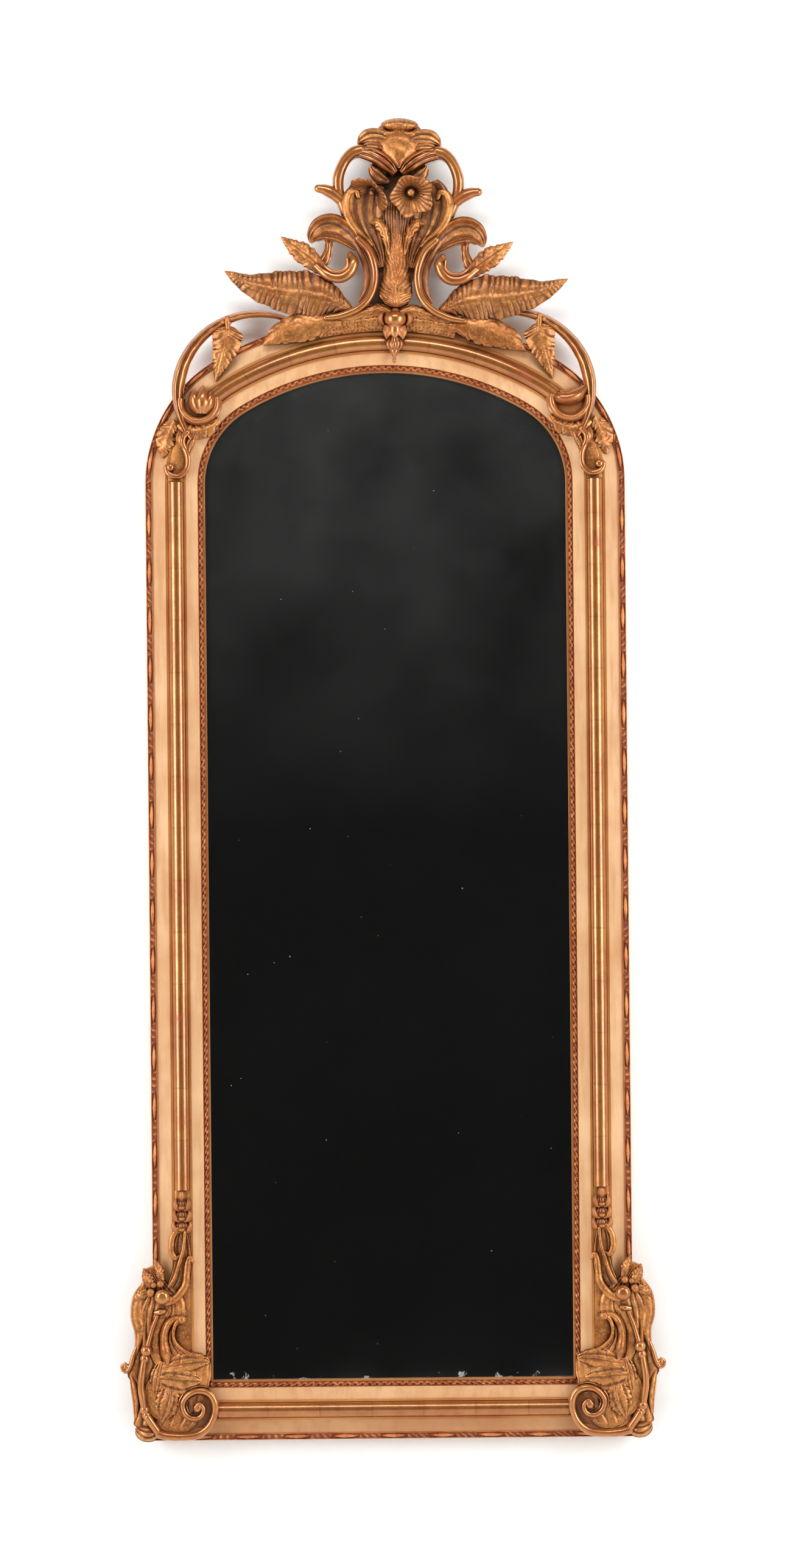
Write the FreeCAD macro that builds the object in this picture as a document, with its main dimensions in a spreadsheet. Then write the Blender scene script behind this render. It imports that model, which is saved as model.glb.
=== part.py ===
import FreeCAD, Part
import math
import os
import Sketcher

Vector = FreeCAD.Vector
doc = FreeCAD.newDocument("pier_mirror")

# Driving sizes in millimetres and degrees. The wall is the plane y = 0, the front faces -Y,
# depths are measured forward from the wall and heights up from the underside of the frame.
DRIVING_SIZES = {
    "frame_width": 790,
    "sight_apex": 1757,
    "crown_radius": 450,
    "shoulder_radius": 138,
    "bead_width": 11,
    "cove_width": 22,
    "fillet_width": 5,
    "round_width": 25,
    "slope_width": 18,
    "sight_width": 11.5,
    "bead_bed": 26,
    "cove_low": 28,
    "cove_high": 37,
    "cove_radius": 24,
    "fillet_front": 39,
    "round_bed": 35,
    "slope_low": 29,
    "slope_high": 37,
    "slope_radius": 60,
    "sight_bed": 22,
    "lip_width": 2.5,
    "lip_front": 24.5,
    "glass_front": 18,
    "glass_rebate": 9,
    "glass_thickness": 4,
    "glass_clearance": 1.5,
    "board_rebate": 25,
    "board_depth": 8,
    "board_thickness": 7,
    "board_gap": 0.6,
    "lower_board_top": 610,
    "middle_board_top": 1150,
    "screw_shank": 3.5,
    "screw_head": 7,
    "screw_length": 16,
    "round_start": 414,
    "round_above_spring": 2,
    "round_arch_reach": 27.5,
    "round_rail_stop": 107,
    "hanger_below_spring": 95,
    "hanger_inset": 36,
    "recess_depth": 10,
    "recess_width": 42,
    "recess_above": 38,
    "recess_below": 84,
    "plate_width": 22,
    "plate_length": 76,
    "plate_thickness": 2,
    "knuckle_length": 14,
    "knuckle_radius": 4.5,
    "pin_radius": 2,
    "pin_clearance": 0.05,
    "ring_half_width": 16,
    "ring_drop": 14,
    "crest_offset": 18,
    "crest_below_apex": 54.5,
    "crest_lean": 1.85,
    "batten_width": 40,
    "batten_length": 230,
    "batten_lap": 62,
    "batten_thickness": 9,
    "mound_reach": 12.5,
    "mound_overhang": 6,
    "mound_front": 52,
    "c_scroll_thickness": 11,
    "volute_thickness": 13,
}

sizes = doc.addObject("Spreadsheet::Sheet", "Sizes")
for row, (alias, number) in enumerate(DRIVING_SIZES.items(), start=1):
    sizes.set(f"A{row}", alias)
    sizes.set(f"B{row}", str(number))
    sizes.setAlias(f"B{row}", alias)
doc.recompute()


class Size:
    """A number taken from the sheet together with the expression that keeps it bound."""

    def __init__(self, value, text):
        self.value = float(value)
        self.text = text

    def combine(self, other, sign, value):
        return Size(value, f"({self.text} {sign} {as_size(other).text})")

    def __add__(self, other):
        return self.combine(other, "+", self.value + as_size(other).value)

    def __sub__(self, other):
        return self.combine(other, "-", self.value - as_size(other).value)

    def __mul__(self, other):
        return self.combine(other, "*", self.value * as_size(other).value)

    def __truediv__(self, other):
        return self.combine(other, "/", self.value / as_size(other).value)

    def __neg__(self):
        return Size(-self.value, f"(-1 * {self.text})")


def as_size(number):
    return number if isinstance(number, Size) else Size(number, repr(float(number)))


def size(alias):
    return Size(getattr(sizes, alias), f"Sizes.{alias}")


def root(number):
    return Size(math.sqrt(number.value), f"sqrt({number.text})")


def arc_sine(number):
    return Size(math.degrees(math.asin(number.value)), f"asin({number.text})")


def arc_cosine(number):
    return Size(math.degrees(math.acos(number.value)), f"acos({number.text})")


# Lines of the three-centred arch. Every moulding is concentric with the sight edge.
moulding_width = (size("bead_width") + size("cove_width") + size("fillet_width") * 2
                  + size("round_width") + size("slope_width") + size("sight_width"))
half_width = size("frame_width") / 2
sight_half = half_width - moulding_width
crown_height = size("sight_apex") - size("crown_radius")
centre_distance = size("crown_radius") - size("shoulder_radius")
shoulder_out = sight_half - size("shoulder_radius")
shoulder_rise = root(centre_distance * centre_distance - shoulder_out * shoulder_out)
spring_height = crown_height + shoulder_rise
crown_half_angle = arc_sine(shoulder_out / centre_distance)
shoulder_angle = arc_cosine(shoulder_out / centre_distance)
outer_crown = size("crown_radius") + moulding_width
outer_shoulder = size("shoulder_radius") + moulding_width
hanger_height = spring_height - size("hanger_below_spring")

# Distances of the moulding lines from the outer edge of the frame.
cove_start = size("bead_width")
fillet_start = cove_start + size("cove_width")
round_start_line = fillet_start + size("fillet_width")
inner_fillet = round_start_line + size("round_width")
slope_start = inner_fillet + size("fillet_width")
sight_start = slope_start + size("slope_width")
ZERO = Size(0, "0")
DOWN = Vector(0, -1, 0)
LEFT = Vector(-1, 0, 0)


def arc_middle(start, end, radius, side):
    """Middle point of the shorter arc between two points, on the chosen side of the chord."""
    chord = end - start
    half = chord.Length / 2
    rise = radius - math.sqrt(max(radius * radius - half * half, 0))
    normal = Vector(-chord.y, chord.x, 0).normalize()
    return (start + end) / 2 + normal * (rise * side)


def closed_sketch(body, label, role, vertices):
    """Sketch on an origin plane of the body. A vertex is (x, y) or (x, y, radius, side):
    the last two make the edge to the next vertex an arc bulging to that side."""
    sketch = body.newObject("Sketcher::SketchObject", label)
    plane = [feature for feature in body.Origin.OriginFeatures if feature.Role == role][0]
    sketch.AttachmentSupport = [(plane, "")]
    sketch.MapMode = "FlatFace"
    points = [Vector(vertex[0].value, vertex[1].value, 0) for vertex in vertices]
    starts = []
    ends = []
    for index, vertex in enumerate(vertices):
        start = points[index]
        end = points[(index + 1) % len(points)]
        if len(vertex) == 2:
            edge = sketch.addGeometry(Part.LineSegment(start, end))
            forward = True
        else:
            middle = arc_middle(start, end, vertex[2].value, vertex[3])
            forward = (middle - start).cross(end - middle).z > 0
            arc = Part.Arc(start, middle, end) if forward else Part.Arc(end, middle, start)
            edge = sketch.addGeometry(arc)
            bound = sketch.addConstraint(Sketcher.Constraint("Radius", edge, vertex[2].value))
            sketch.setExpression(f"Constraints[{bound}]", vertex[2].text)
        starts.append((edge, 1 if forward else 2))
        ends.append((edge, 2 if forward else 1))
    for index, vertex in enumerate(vertices):
        edge, end = starts[index]
        before, before_end = ends[index - 1]
        sketch.addConstraint(Sketcher.Constraint("Coincident", before, before_end, edge, end))
        for direction, upright, number in (("DistanceX", "Vertical", vertex[0]),
                                           ("DistanceY", "Horizontal", vertex[1])):
            if number is ZERO:
                sketch.addConstraint(Sketcher.Constraint(upright, -1, 1, edge, end))
                continue
            distance = Sketcher.Constraint(direction, -1, 1, edge, end, number.value)
            bound = sketch.addConstraint(distance)
            sketch.setExpression(f"Constraints[{bound}]", number.text)
    return sketch


def new_body(label, x=None, z=None):
    """Body whose own origin stands at a bound place in the plane of the wall."""
    body = doc.addObject("PartDesign::Body", label)
    body.Label = label
    for axis, number in (("x", x), ("z", z)):
        if number is not None:
            body.setExpression(f"Placement.Base.{axis}", number.text)
    return body


def pad(body, sketch, length, midplane=False, reverse=False):
    feature = body.newObject("PartDesign::Pad", f"{body.Name}_pad")
    feature.Profile = sketch
    feature.setExpression("Length", length.text)
    feature.Midplane = midplane
    feature.Reversed = reverse
    return feature


def pocket(body, sketch, depth=None):
    """Pocket cut forward from the wall plane, or right through when no depth is given."""
    feature = body.newObject("PartDesign::Pocket", f"{sketch.Name}_cut")
    feature.Profile = sketch
    if depth is None:
        feature.Type = "ThroughAll"
        feature.Midplane = True
    else:
        feature.setExpression("Length", depth.text)
        feature.Reversed = True
    return feature


def revolve(body, sketch, axis, angle, midplane=False, reverse=False):
    feature = body.newObject("PartDesign::Revolution", f"{body.Name}_turn")
    feature.Profile = sketch
    feature.ReferenceAxis = (sketch, [axis])
    feature.setExpression("Angle", angle.text)
    feature.Midplane = midplane
    feature.Reversed = reverse
    return feature


def mirrored(label, source):
    """The same piece for the left-hand side."""
    twin = doc.addObject("Part::Mirroring", label)
    twin.Label = label
    twin.Source = source
    twin.Base = Vector(0, 0, 0)
    twin.Normal = Vector(1, 0, 0)
    return twin


def carcass_profile():
    """Section of the frame timber: distance from the outer edge and depth from the wall."""
    return [
        (ZERO, ZERO),
        (ZERO, size("bead_bed")),
        (cove_start, size("bead_bed")),
        (cove_start, size("cove_low"), size("cove_radius")),
        (fillet_start, size("cove_high")),
        (fillet_start, size("fillet_front")),
        (round_start_line, size("fillet_front")),
        (round_start_line, size("round_bed")),
        (inner_fillet, size("round_bed")),
        (inner_fillet, size("fillet_front")),
        (slope_start, size("fillet_front")),
        (slope_start, size("slope_high"), size("slope_radius")),
        (sight_start, size("slope_low")),
        (sight_start, size("sight_bed")),
        (moulding_width, size("sight_bed")),
        (moulding_width, size("glass_front")),
        (moulding_width - size("glass_rebate"), size("glass_front")),
        (moulding_width - size("glass_rebate"), size("board_depth")),
        (moulding_width - size("board_rebate"), size("board_depth")),
        (moulding_width - size("board_rebate"), ZERO),
    ]


def half_round_profile():
    side_top = size("round_bed") + size("round_width") * 0.17
    return [
        (round_start_line, size("round_bed")),
        (round_start_line, side_top, size("round_width") * 0.505),
        (inner_fillet, side_top),
        (inner_fillet, size("round_bed")),
    ]


def edge_bead_profile():
    side_top = size("bead_bed") + size("bead_width") * 0.45
    return [
        (ZERO, size("bead_bed")),
        (ZERO, side_top, size("bead_width") * 0.505),
        (cove_start, side_top),
        (cove_start, size("bead_bed")),
    ]


def sight_profile():
    lip_start = moulding_width - size("lip_width")
    side_top = size("lip_front") + 1.5
    return [
        (sight_start, size("sight_bed")),
        (sight_start, side_top, (size("sight_width") - size("lip_width")) * 0.52),
        (lip_start, side_top),
        (lip_start, size("lip_front")),
        (moulding_width, size("lip_front")),
        (moulding_width, size("sight_bed")),
    ]


def laid_out(profile, place, forward):
    """Profile carried to sketch coordinates, where forward is the way to the front.
    Curves of the timber are hollow and those of the planted strips are round."""
    section = profile()
    spots = [place(across, depth) for across, depth, *radius in section]
    vertices = []
    for index, row in enumerate(section):
        spot = spots[index]
        if len(row) == 3:
            after = spots[(index + 1) % len(spots)]
            normal = Vector(spot[1].value - after[1].value, after[0].value - spot[0].value, 0)
            side = 1 if normal.dot(forward) > 0 else -1
            spot = (*spot, row[2], -side if profile is carcass_profile else side)
        vertices.append(spot)
    return vertices


def on_stile(across, depth):
    return (-across if across is not ZERO else ZERO, -depth if depth is not ZERO else ZERO)


def on_rail(across, depth):
    return (-depth if depth is not ZERO else ZERO, across)


def on_crown(across, depth):
    return (-depth if depth is not ZERO else ZERO, outer_crown - across)


def on_shoulder(across, depth):
    return (outer_shoulder - across, -depth if depth is not ZERO else ZERO)


def mitre(body, label, inward):
    """Forty-five degree cut that starts at the outer lower corner of the frame."""
    reach = moulding_width + 5
    far = -reach if inward < 0 else reach
    triangle = [(ZERO, ZERO), (far, ZERO), (far, reach)]
    return pocket(body, closed_sketch(body, label, "XZ_Plane", triangle))


def stile_run(label, profile, start=None, end=None, mitred=True):
    """Right-hand upright length of one section."""
    body = new_body(label, x=half_width, z=start)
    sketch = closed_sketch(body, f"{label}_section", "XY_Plane", laid_out(profile, on_stile, DOWN))
    pad(body, sketch, (end or spring_height) - (start or ZERO))
    if mitred:
        mitre(body, f"{label}_mitre", -1)
    return body


def rail_run(label, profile, reach=None):
    """Bottom length of one section, mitred into the stiles or stopped square at a reach."""
    body = new_body(label)
    sketch = closed_sketch(body, f"{label}_section", "YZ_Plane", laid_out(profile, on_rail, LEFT))
    pad(body, sketch, (reach or half_width) * 2, midplane=True)
    if reach is None:
        lift = moulding_width + 5
        for side, name in ((1, "right"), (-1, "left")):
            corner = half_width if side > 0 else -half_width
            inner = corner - lift if side > 0 else corner + lift
            triangle = [(corner, ZERO), (corner, lift), (inner, lift)]
            pocket(body, closed_sketch(body, f"{label}_mitre_{name}", "XZ_Plane", triangle))
    return body


def crown_run(label, profile, angle):
    body = new_body(label, z=crown_height)
    sketch = closed_sketch(body, f"{label}_section", "YZ_Plane", laid_out(profile, on_crown, LEFT))
    revolve(body, sketch, "H_Axis", angle * 2, midplane=True)
    return body


def shoulder_run(label, profile):
    body = new_body(label, x=shoulder_out, z=spring_height)
    section = laid_out(profile, on_shoulder, DOWN)
    sketch = closed_sketch(body, f"{label}_section", "XY_Plane", section)
    revolve(body, sketch, "V_Axis", shoulder_angle, reverse=True)
    return body


def joined(label, pieces):
    """Several runs glued into one bent length."""
    union = doc.addObject("Part::MultiFuse", label)
    union.Label = label
    union.Shapes = pieces
    return union


def grouped(label, pieces):
    """Separate solids of one kind kept under one name."""
    group = doc.addObject("Part::Compound", label)
    group.Label = label
    group.Links = pieces
    return group


nodes = {}


def keep(feature):
    nodes[feature.Label] = feature
    return feature


# Frame timber: two stiles, a bottom rail and a head of three sawn segments.
stile_right = keep(stile_run("stile_right", carcass_profile))
recess_x = size("recess_width") / 2
recess = [(-size("hanger_inset") - recess_x, hanger_height - size("recess_below")),
          (-size("hanger_inset") + recess_x, hanger_height - size("recess_below")),
          (-size("hanger_inset") + recess_x, hanger_height + size("recess_above")),
          (-size("hanger_inset") - recess_x, hanger_height + size("recess_above"))]
pocket(stile_right, closed_sketch(stile_right, "hanger_recess", "XZ_Plane", recess),
       size("recess_depth"))
keep(mirrored("stile_left", stile_right))
keep(rail_run("bottom_rail", carcass_profile))
head_crown = keep(crown_run("head_crown", carcass_profile, crown_half_angle))
batten_side = size("batten_width") / 2
slot = [(size("crest_offset") - batten_side, outer_crown - size("batten_lap")),
        (size("crest_offset") + batten_side, outer_crown - size("batten_lap")),
        (size("crest_offset") + batten_side, outer_crown + 5),
        (size("crest_offset") - batten_side, outer_crown + 5)]
pocket(head_crown, closed_sketch(head_crown, "batten_slot", "XZ_Plane", slot),
       size("batten_thickness"))
keep(mirrored("head_shoulder_left", keep(shoulder_run("head_shoulder_right", carcass_profile))))

# Burnished half-round, edge bead and sight strip planted on the timber.
round_right = stile_run("round_right", half_round_profile, size("round_start"),
                        spring_height + size("round_above_spring"), mitred=False)
keep(grouped("half_round_stiles", [round_right, mirrored("round_left", round_right)]))
keep(rail_run("half_round_rail", half_round_profile, half_width - size("round_rail_stop")))
keep(crown_run("half_round_arch", half_round_profile, size("round_arch_reach")))
for strip, profile in (("edge_bead", edge_bead_profile), ("sight_strip", sight_profile)):
    upright = stile_run(f"{strip}_right", profile)
    keep(grouped(f"{strip}_stiles", [upright, mirrored(f"{strip}_left", upright)]))
    keep(rail_run(f"{strip}_rail", profile))
    bend = shoulder_run(f"{strip}_bend_right", profile)
    top = crown_run(f"{strip}_crown", profile, crown_half_angle)
    keep(joined(f"{strip}_arch", [top, bend, mirrored(f"{strip}_bend_left", bend)]))


def arched_outline(offset, bottom):
    """Upright panel with the arch of the sight edge moved outward by the offset."""
    side = sight_half + offset
    crown = size("crown_radius") + offset
    turn_x = crown * (shoulder_out / centre_distance)
    turn_z = crown_height + crown * (shoulder_rise / centre_distance)
    shoulder = size("shoulder_radius") + offset
    return [(-side, bottom), (side, bottom), (side, spring_height, shoulder, -1),
            (turn_x, turn_z, crown, -1), (-turn_x, turn_z, shoulder, -1),
            (-side, spring_height)]


def panel_body(label, outline, depth, thickness):
    body = new_body(label)
    body.setExpression("Placement.Base.y", f"-1 * {depth.text}")
    pad(body, closed_sketch(body, f"{label}_outline", "XZ_Plane", outline), thickness)
    return body


# Mirror plate, the blocks that press it forward and three back boards.
glass_reach = size("glass_rebate") - size("glass_clearance")
glass_back = size("glass_front") - size("glass_thickness")
glass_bottom = moulding_width - glass_reach
keep(panel_body("mirror_plate", arched_outline(glass_reach, glass_bottom), glass_back,
                size("glass_thickness")))
board_reach = size("board_rebate") - size("glass_clearance")
board_back = size("board_depth") - size("board_thickness")


def feature(label, shape, origin=Vector(0, 0, 0)):
    """Document object for a shape made in place, with its own origin."""
    piece = doc.addObject("Part::Feature", label)
    piece.Label = label
    home = FreeCAD.Matrix()
    home.move(origin * -1)
    piece.Shape = shape.transformed(home, copy=True)
    piece.Placement = FreeCAD.Placement(origin, FreeCAD.Rotation())
    return piece


def block_set():
    """Softwood blocks in the rebate, along both stiles and the bottom rail."""
    thickness = glass_back.value - size("board_depth").value
    inner = sight_half.value - 5
    width = glass_reach.value + 5
    step = (spring_height.value - moulding_width.value) / 4
    blocks = []
    for index in range(4):
        low = moulding_width.value + step * (index + 0.5) - 30
        for left in (inner, -inner - width):
            corner = Vector(left, -glass_back.value, low)
            blocks.append(Part.makeBox(width, thickness, 60, corner))
    for centre in (-0.5, 0.5):
        corner = Vector(centre * sight_half.value - 30, -glass_back.value, glass_bottom.value)
        blocks.append(Part.makeBox(60, thickness, width, corner))
    return Part.makeCompound(blocks)


keep(feature("glass_blocks", block_set()))


def wood_screw(head, clearance=0.0):
    """Countersunk screw driven forward from the back, head flush at the given point."""
    wide = size("screw_head").value / 2 + clearance
    thin = size("screw_shank").value / 2 + clearance
    sink = wide - thin
    long = size("screw_length").value
    cone = Part.makeCone(wide, thin, sink, head, Vector(0, -1, 0))
    shank = Part.makeCylinder(thin, long, head + Vector(0, -sink, 0), Vector(0, -1, 0))
    return cone.fuse(shank).removeSplitter()


def screw_set(places, clearance=0.0):
    return Part.makeCompound([wood_screw(place, clearance) for place in places])


screw_line = sight_half.value + (size("glass_rebate").value + size("board_rebate").value) / 2
screw_depth = -board_back.value
board_low = moulding_width - board_reach
board_screw_places = [Vector(0, screw_depth, size("sight_apex").value + screw_line - sight_half.value)]
for low, high in ((board_low.value, size("lower_board_top").value),
                  (size("lower_board_top").value, size("middle_board_top").value),
                  (size("middle_board_top").value, spring_height.value)):
    for part in (0.15, 0.85):
        height = low + (high - low) * part
        board_screw_places.append(Vector(screw_line, screw_depth, height))
        board_screw_places.append(Vector(-screw_line, screw_depth, height))
screw_holes = feature("board_screw_holes", screw_set(board_screw_places, 0.1))


def bored(label, blank):
    """Back board with its countersunk screw holes."""
    cut = doc.addObject("Part::Cut", label)
    cut.Label = label
    cut.Base = blank
    cut.Tool = screw_holes
    return cut


def board_outline(bottom, top):
    side = sight_half + board_reach
    return [(-side, bottom), (side, bottom), (side, top), (-side, top)]


lower_top = size("lower_board_top")
middle_top = size("middle_board_top")
gap = size("board_gap")
board_outlines = {
    "back_board_lower": board_outline(board_low, lower_top),
    "back_board_middle": board_outline(lower_top + gap, middle_top),
    "back_board_upper": arched_outline(board_reach, middle_top + gap),
}
for label, outline in board_outlines.items():
    blank = panel_body(f"{label}_blank", outline, board_back, size("board_thickness"))
    keep(bored(label, blank))
keep(feature("back_board_screws", screw_set(board_screw_places)))


def hanger_plate(label, x):
    """Iron strap with a rolled knuckle, lying on the floor of the recess in the stile."""
    floor = -size("recess_depth").value
    top = hanger_height.value
    wide = size("plate_width").value
    thick = size("plate_thickness").value
    knuckle = size("knuckle_radius").value
    bore = size("pin_radius").value + size("pin_clearance").value
    pin_y = floor + knuckle
    length = size("plate_length").value
    strap = Part.makeBox(wide, thick, length, Vector(x - wide / 2, floor, top - length))
    barrel_length = size("knuckle_length").value
    barrel_start = Vector(x - barrel_length / 2, pin_y, top)
    barrel = Part.makeCylinder(knuckle, barrel_length, barrel_start, Vector(1, 0, 0))
    hole = Part.makeCylinder(bore, barrel_length, barrel_start, Vector(1, 0, 0))
    neck_width = (wide - barrel_length) / 2
    notches = [Part.makeBox(neck_width, thick, 2.5 * knuckle,
                            Vector(left, floor, top - 2.5 * knuckle))
               for left in (x - wide / 2, x + wide / 2 - neck_width)]
    sinks = [wood_screw(place, 0.1) for place in hanger_screw_places(x)]
    shape = strap.cut(notches).fuse(barrel).cut([hole] + sinks).removeSplitter()
    return feature(label, shape, Vector(x, floor, top))


def hanger_screw_places(x):
    back = size("plate_thickness").value - size("recess_depth").value
    length = size("plate_length").value
    top = hanger_height.value
    return [Vector(x, back, top - length * part) for part in (0.62, 0.88)]


def hanger_ring(label, x):
    """D-shaped ring of round wire whose straight side turns in the knuckle."""
    radius = size("pin_radius").value
    side = size("ring_half_width").value
    drop = size("ring_drop").value
    bend = radius * 2
    pin = Vector(x, size("knuckle_radius").value - size("recess_depth").value,
                 hanger_height.value)
    slant = bend * (1 - math.sqrt(0.5))

    def at(across, down):
        return pin + Vector(across, 0, -down)

    path = [Part.makeLine(at(0, 0), at(side - bend, 0)),
            Part.Arc(at(side - bend, 0), at(side - slant, slant), at(side, bend)).toShape(),
            Part.makeLine(at(side, bend), at(side, drop)),
            Part.Arc(at(side, drop), at(0, drop + side), at(-side, drop)).toShape(),
            Part.makeLine(at(-side, drop), at(-side, bend)),
            Part.Arc(at(-side, bend), at(slant - side, slant), at(bend - side, 0)).toShape(),
            Part.makeLine(at(bend - side, 0), at(0, 0))]
    wire = Part.Wire(path)
    circle = Part.Wire(Part.makeCircle(radius, pin, Vector(1, 0, 0)))
    shape = wire.makePipeShell([circle], True, False)
    return feature(label, shape, pin)


hanger_x = half_width.value - size("hanger_inset").value
hanger_places = []
for side, name in ((-1, "left"), (1, "right")):
    keep(hanger_plate(f"hanger_plate_{name}", side * hanger_x))
    keep(hanger_ring(f"hanger_ring_{name}", side * hanger_x))
    hanger_places += hanger_screw_places(side * hanger_x)
keep(feature("hanger_screws", screw_set(hanger_places)))

# Places for the carving: the crest leans a little on its own axis, shoulders follow the
# shoulder centre and corners follow the outer lower corner of the frame.
carving_plane = size("fillet_front").value
crest_x = size("crest_offset").value
crest_z = crown_height.value + outer_crown.value - size("crest_below_apex").value
lean = math.radians(size("crest_lean").value)


def on_crest(across, up, depth):
    return Vector(crest_x + across * math.cos(lean) + up * math.sin(lean), -depth,
                  crest_z + up * math.cos(lean) - across * math.sin(lean))


def by_shoulder(across, up, depth):
    return Vector(shoulder_out.value + across, -depth, spring_height.value + up)


def by_corner(across, up, depth):
    return Vector(half_width.value + across, -depth, up)


FRAME_AXIS = (Vector(0, 0, 0), Vector(1, 0, 0))
CREST_AXIS = (on_crest(0, 0, 0), on_crest(1, 0, 0) - on_crest(0, 0, 0))


def smooth_curve(points, closed=False):
    curve = Part.BSplineCurve()
    curve.interpolate(points, PeriodicFlag=closed)
    return curve


def rod(spot, path, thick, thin, stations=14):
    """Round carved stem through (across, up, depth) points, tapering from thick to thin."""
    curve = smooth_curve([spot(*point) for point in path])
    first = curve.FirstParameter
    span = curve.LastParameter - first
    rings = []
    for index in range(stations):
        share = index / (stations - 1)
        parameter = first + span * share
        ring = Part.Circle()
        ring.Center = curve.value(parameter)
        ring.Axis = curve.tangent(parameter)[0]
        ring.XAxis = Vector(0, -1, 0)
        ring.Radius = (thick + (thin - thick) * share) / 2
        rings.append(Part.Wire(ring.toShape()))
    return Part.makeLoft(rings, True)


def leaf(spot, spine, back, edge, rise):
    """Flat-backed leaf with a raised midrib. Spine rows are (across, up, left, right, lift)."""
    curve = smooth_curve([Vector(row[0], 0, row[1]) for row in spine])
    sections = []
    for across, up, left, right, lift in spine:
        heading = curve.tangent(curve.parameter(Vector(across, 0, up)))[0]
        step = (-heading.z, heading.x)

        def at(offset, depth):
            return spot(across + step[0] * offset, up + step[1] * offset, back + lift + depth)

        height = edge + rise * min(1.0, (left + right) / 30)
        rim_left = at(left, edge)
        rim_right = at(-right, edge)
        ridge = at(0, height)
        bulge = edge + (height - edge) * 0.72
        corners = [at(left, 0), at(-right, 0)]
        edges = [Part.makeLine(corners[0], corners[1]),
                 Part.makeLine(corners[1], rim_right),
                 Part.Arc(rim_right, at(-right / 2, bulge), ridge).toShape(),
                 Part.Arc(ridge, at(left / 2, bulge), rim_left).toShape(),
                 Part.makeLine(rim_left, corners[0])]
        sections.append(Part.Wire(edges))
    return Part.makeLoft(sections, True)


def plate(spot, outline, back, front):
    """Sawn board with a flowing outline through (across, up) points."""
    curve = smooth_curve([spot(across, up, back) for across, up in outline], closed=True)
    face = Part.Face(Part.Wire(curve.toShape()))
    return face.extrude(Vector(0, back - front, 0))


def turned(spot, middle, profile):
    """Boss turned about the axis through the wall: (radius, depth) points, back to front."""
    axis = spot(*middle, 0)
    points = [axis + Vector(radius, -depth, 0) for radius, depth in profile]
    outline = smooth_curve(points).toShape()
    closing = Part.makePolygon([points[-1], spot(*middle, profile[-1][1]),
                                spot(*middle, profile[0][1]), points[0]])
    face = Part.Face(Part.Wire([outline] + closing.Edges))
    return face.revolve(axis, Vector(0, 1, 0), 360)


def seated(shape, neighbours=()):
    """Carving cut back where its neighbours stand, so that it lies against them."""
    near = [other for other in neighbours if shape.BoundBox.intersect(other.BoundBox)]
    if near:
        shape = shape.cut(near)
    return max(shape.Solids, key=lambda solid: solid.Volume)


def both(shape, axis, neighbours=()):
    """A right-hand carving and its twin across the axis, each seated."""
    return [seated(one, neighbours) for one in (shape, shape.mirror(*axis))]


def carve(label, shapes, spot, across, up):
    """Named carving with its origin at a place on the carving plane."""
    shape = shapes[0] if len(shapes) == 1 else Part.makeCompound(shapes)
    return keep(feature(label, shape, spot(across, up, carving_plane)))


def carve_hands(label, shapes, spot, across, up):
    """Right-hand and left-hand carvings under names of their own."""
    for name, shape, side in (("right", shapes[0], 1), ("left", shapes[1], -1)):
        carve(f"{label}_{name}", [shape], spot, side * across, up)


def mound_profile():
    foot = fillet_start + size("fillet_width") * 0.6
    return [
        (-size("mound_overhang"), size("fillet_front")),
        (-size("mound_overhang"), size("mound_front")),
        (foot, size("mound_front")),
        (foot, size("fillet_front")),
    ]


# Crest: a sawn board held to the head by a let-in batten, with a carved mound at its foot.
keep(crown_run("crest_mound", mound_profile, size("mound_reach")))
doc.recompute()
arch_round = nodes["half_round_arch"].Shape
mound = nodes["crest_mound"].Shape
batten_depth = size("batten_thickness").value
batten_foot = crown_height + outer_crown - size("batten_lap")
batten_blank = doc.addObject("Part::Box", "crest_batten_blank")
batten_blank.setExpression("Length", size("batten_width").text)
batten_blank.setExpression("Width", size("batten_thickness").text)
batten_blank.setExpression("Height", size("batten_length").text)
batten_blank.setExpression("Placement.Base.x", (size("crest_offset") - batten_side).text)
batten_blank.setExpression("Placement.Base.y", (-size("batten_thickness")).text)
batten_blank.setExpression("Placement.Base.z", batten_foot.text)
batten_places = [Vector(crest_x, 0, batten_foot.value + size("batten_length").value * share)
                 for share in (0.06, 0.18, 0.5, 0.8)]
batten_holes = feature("batten_screw_holes", screw_set(batten_places, 0.1))
batten = doc.addObject("Part::Cut", "crest_batten")
batten.Label = "crest_batten"
batten.Base = batten_blank
batten.Tool = batten_holes
keep(batten)
keep(feature("batten_screws", screw_set(batten_places)))
board_edge = [(30, 36), (32, 120), (56, 172), (60, 232), (30, 258), (26, 298), (38, 322), (22, 342)]
board_round = board_edge + [(-across, up) for across, up in reversed(board_edge)]
arch_drum = Part.makeCylinder(outer_crown.value, 120, Vector(0, 20, crown_height.value),
                              Vector(0, -1, 0))
crest_board = plate(on_crest, board_round, batten_depth, carving_plane).cut(arch_drum)
carve("crest_board", [crest_board], on_crest, 0, 60)

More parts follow.
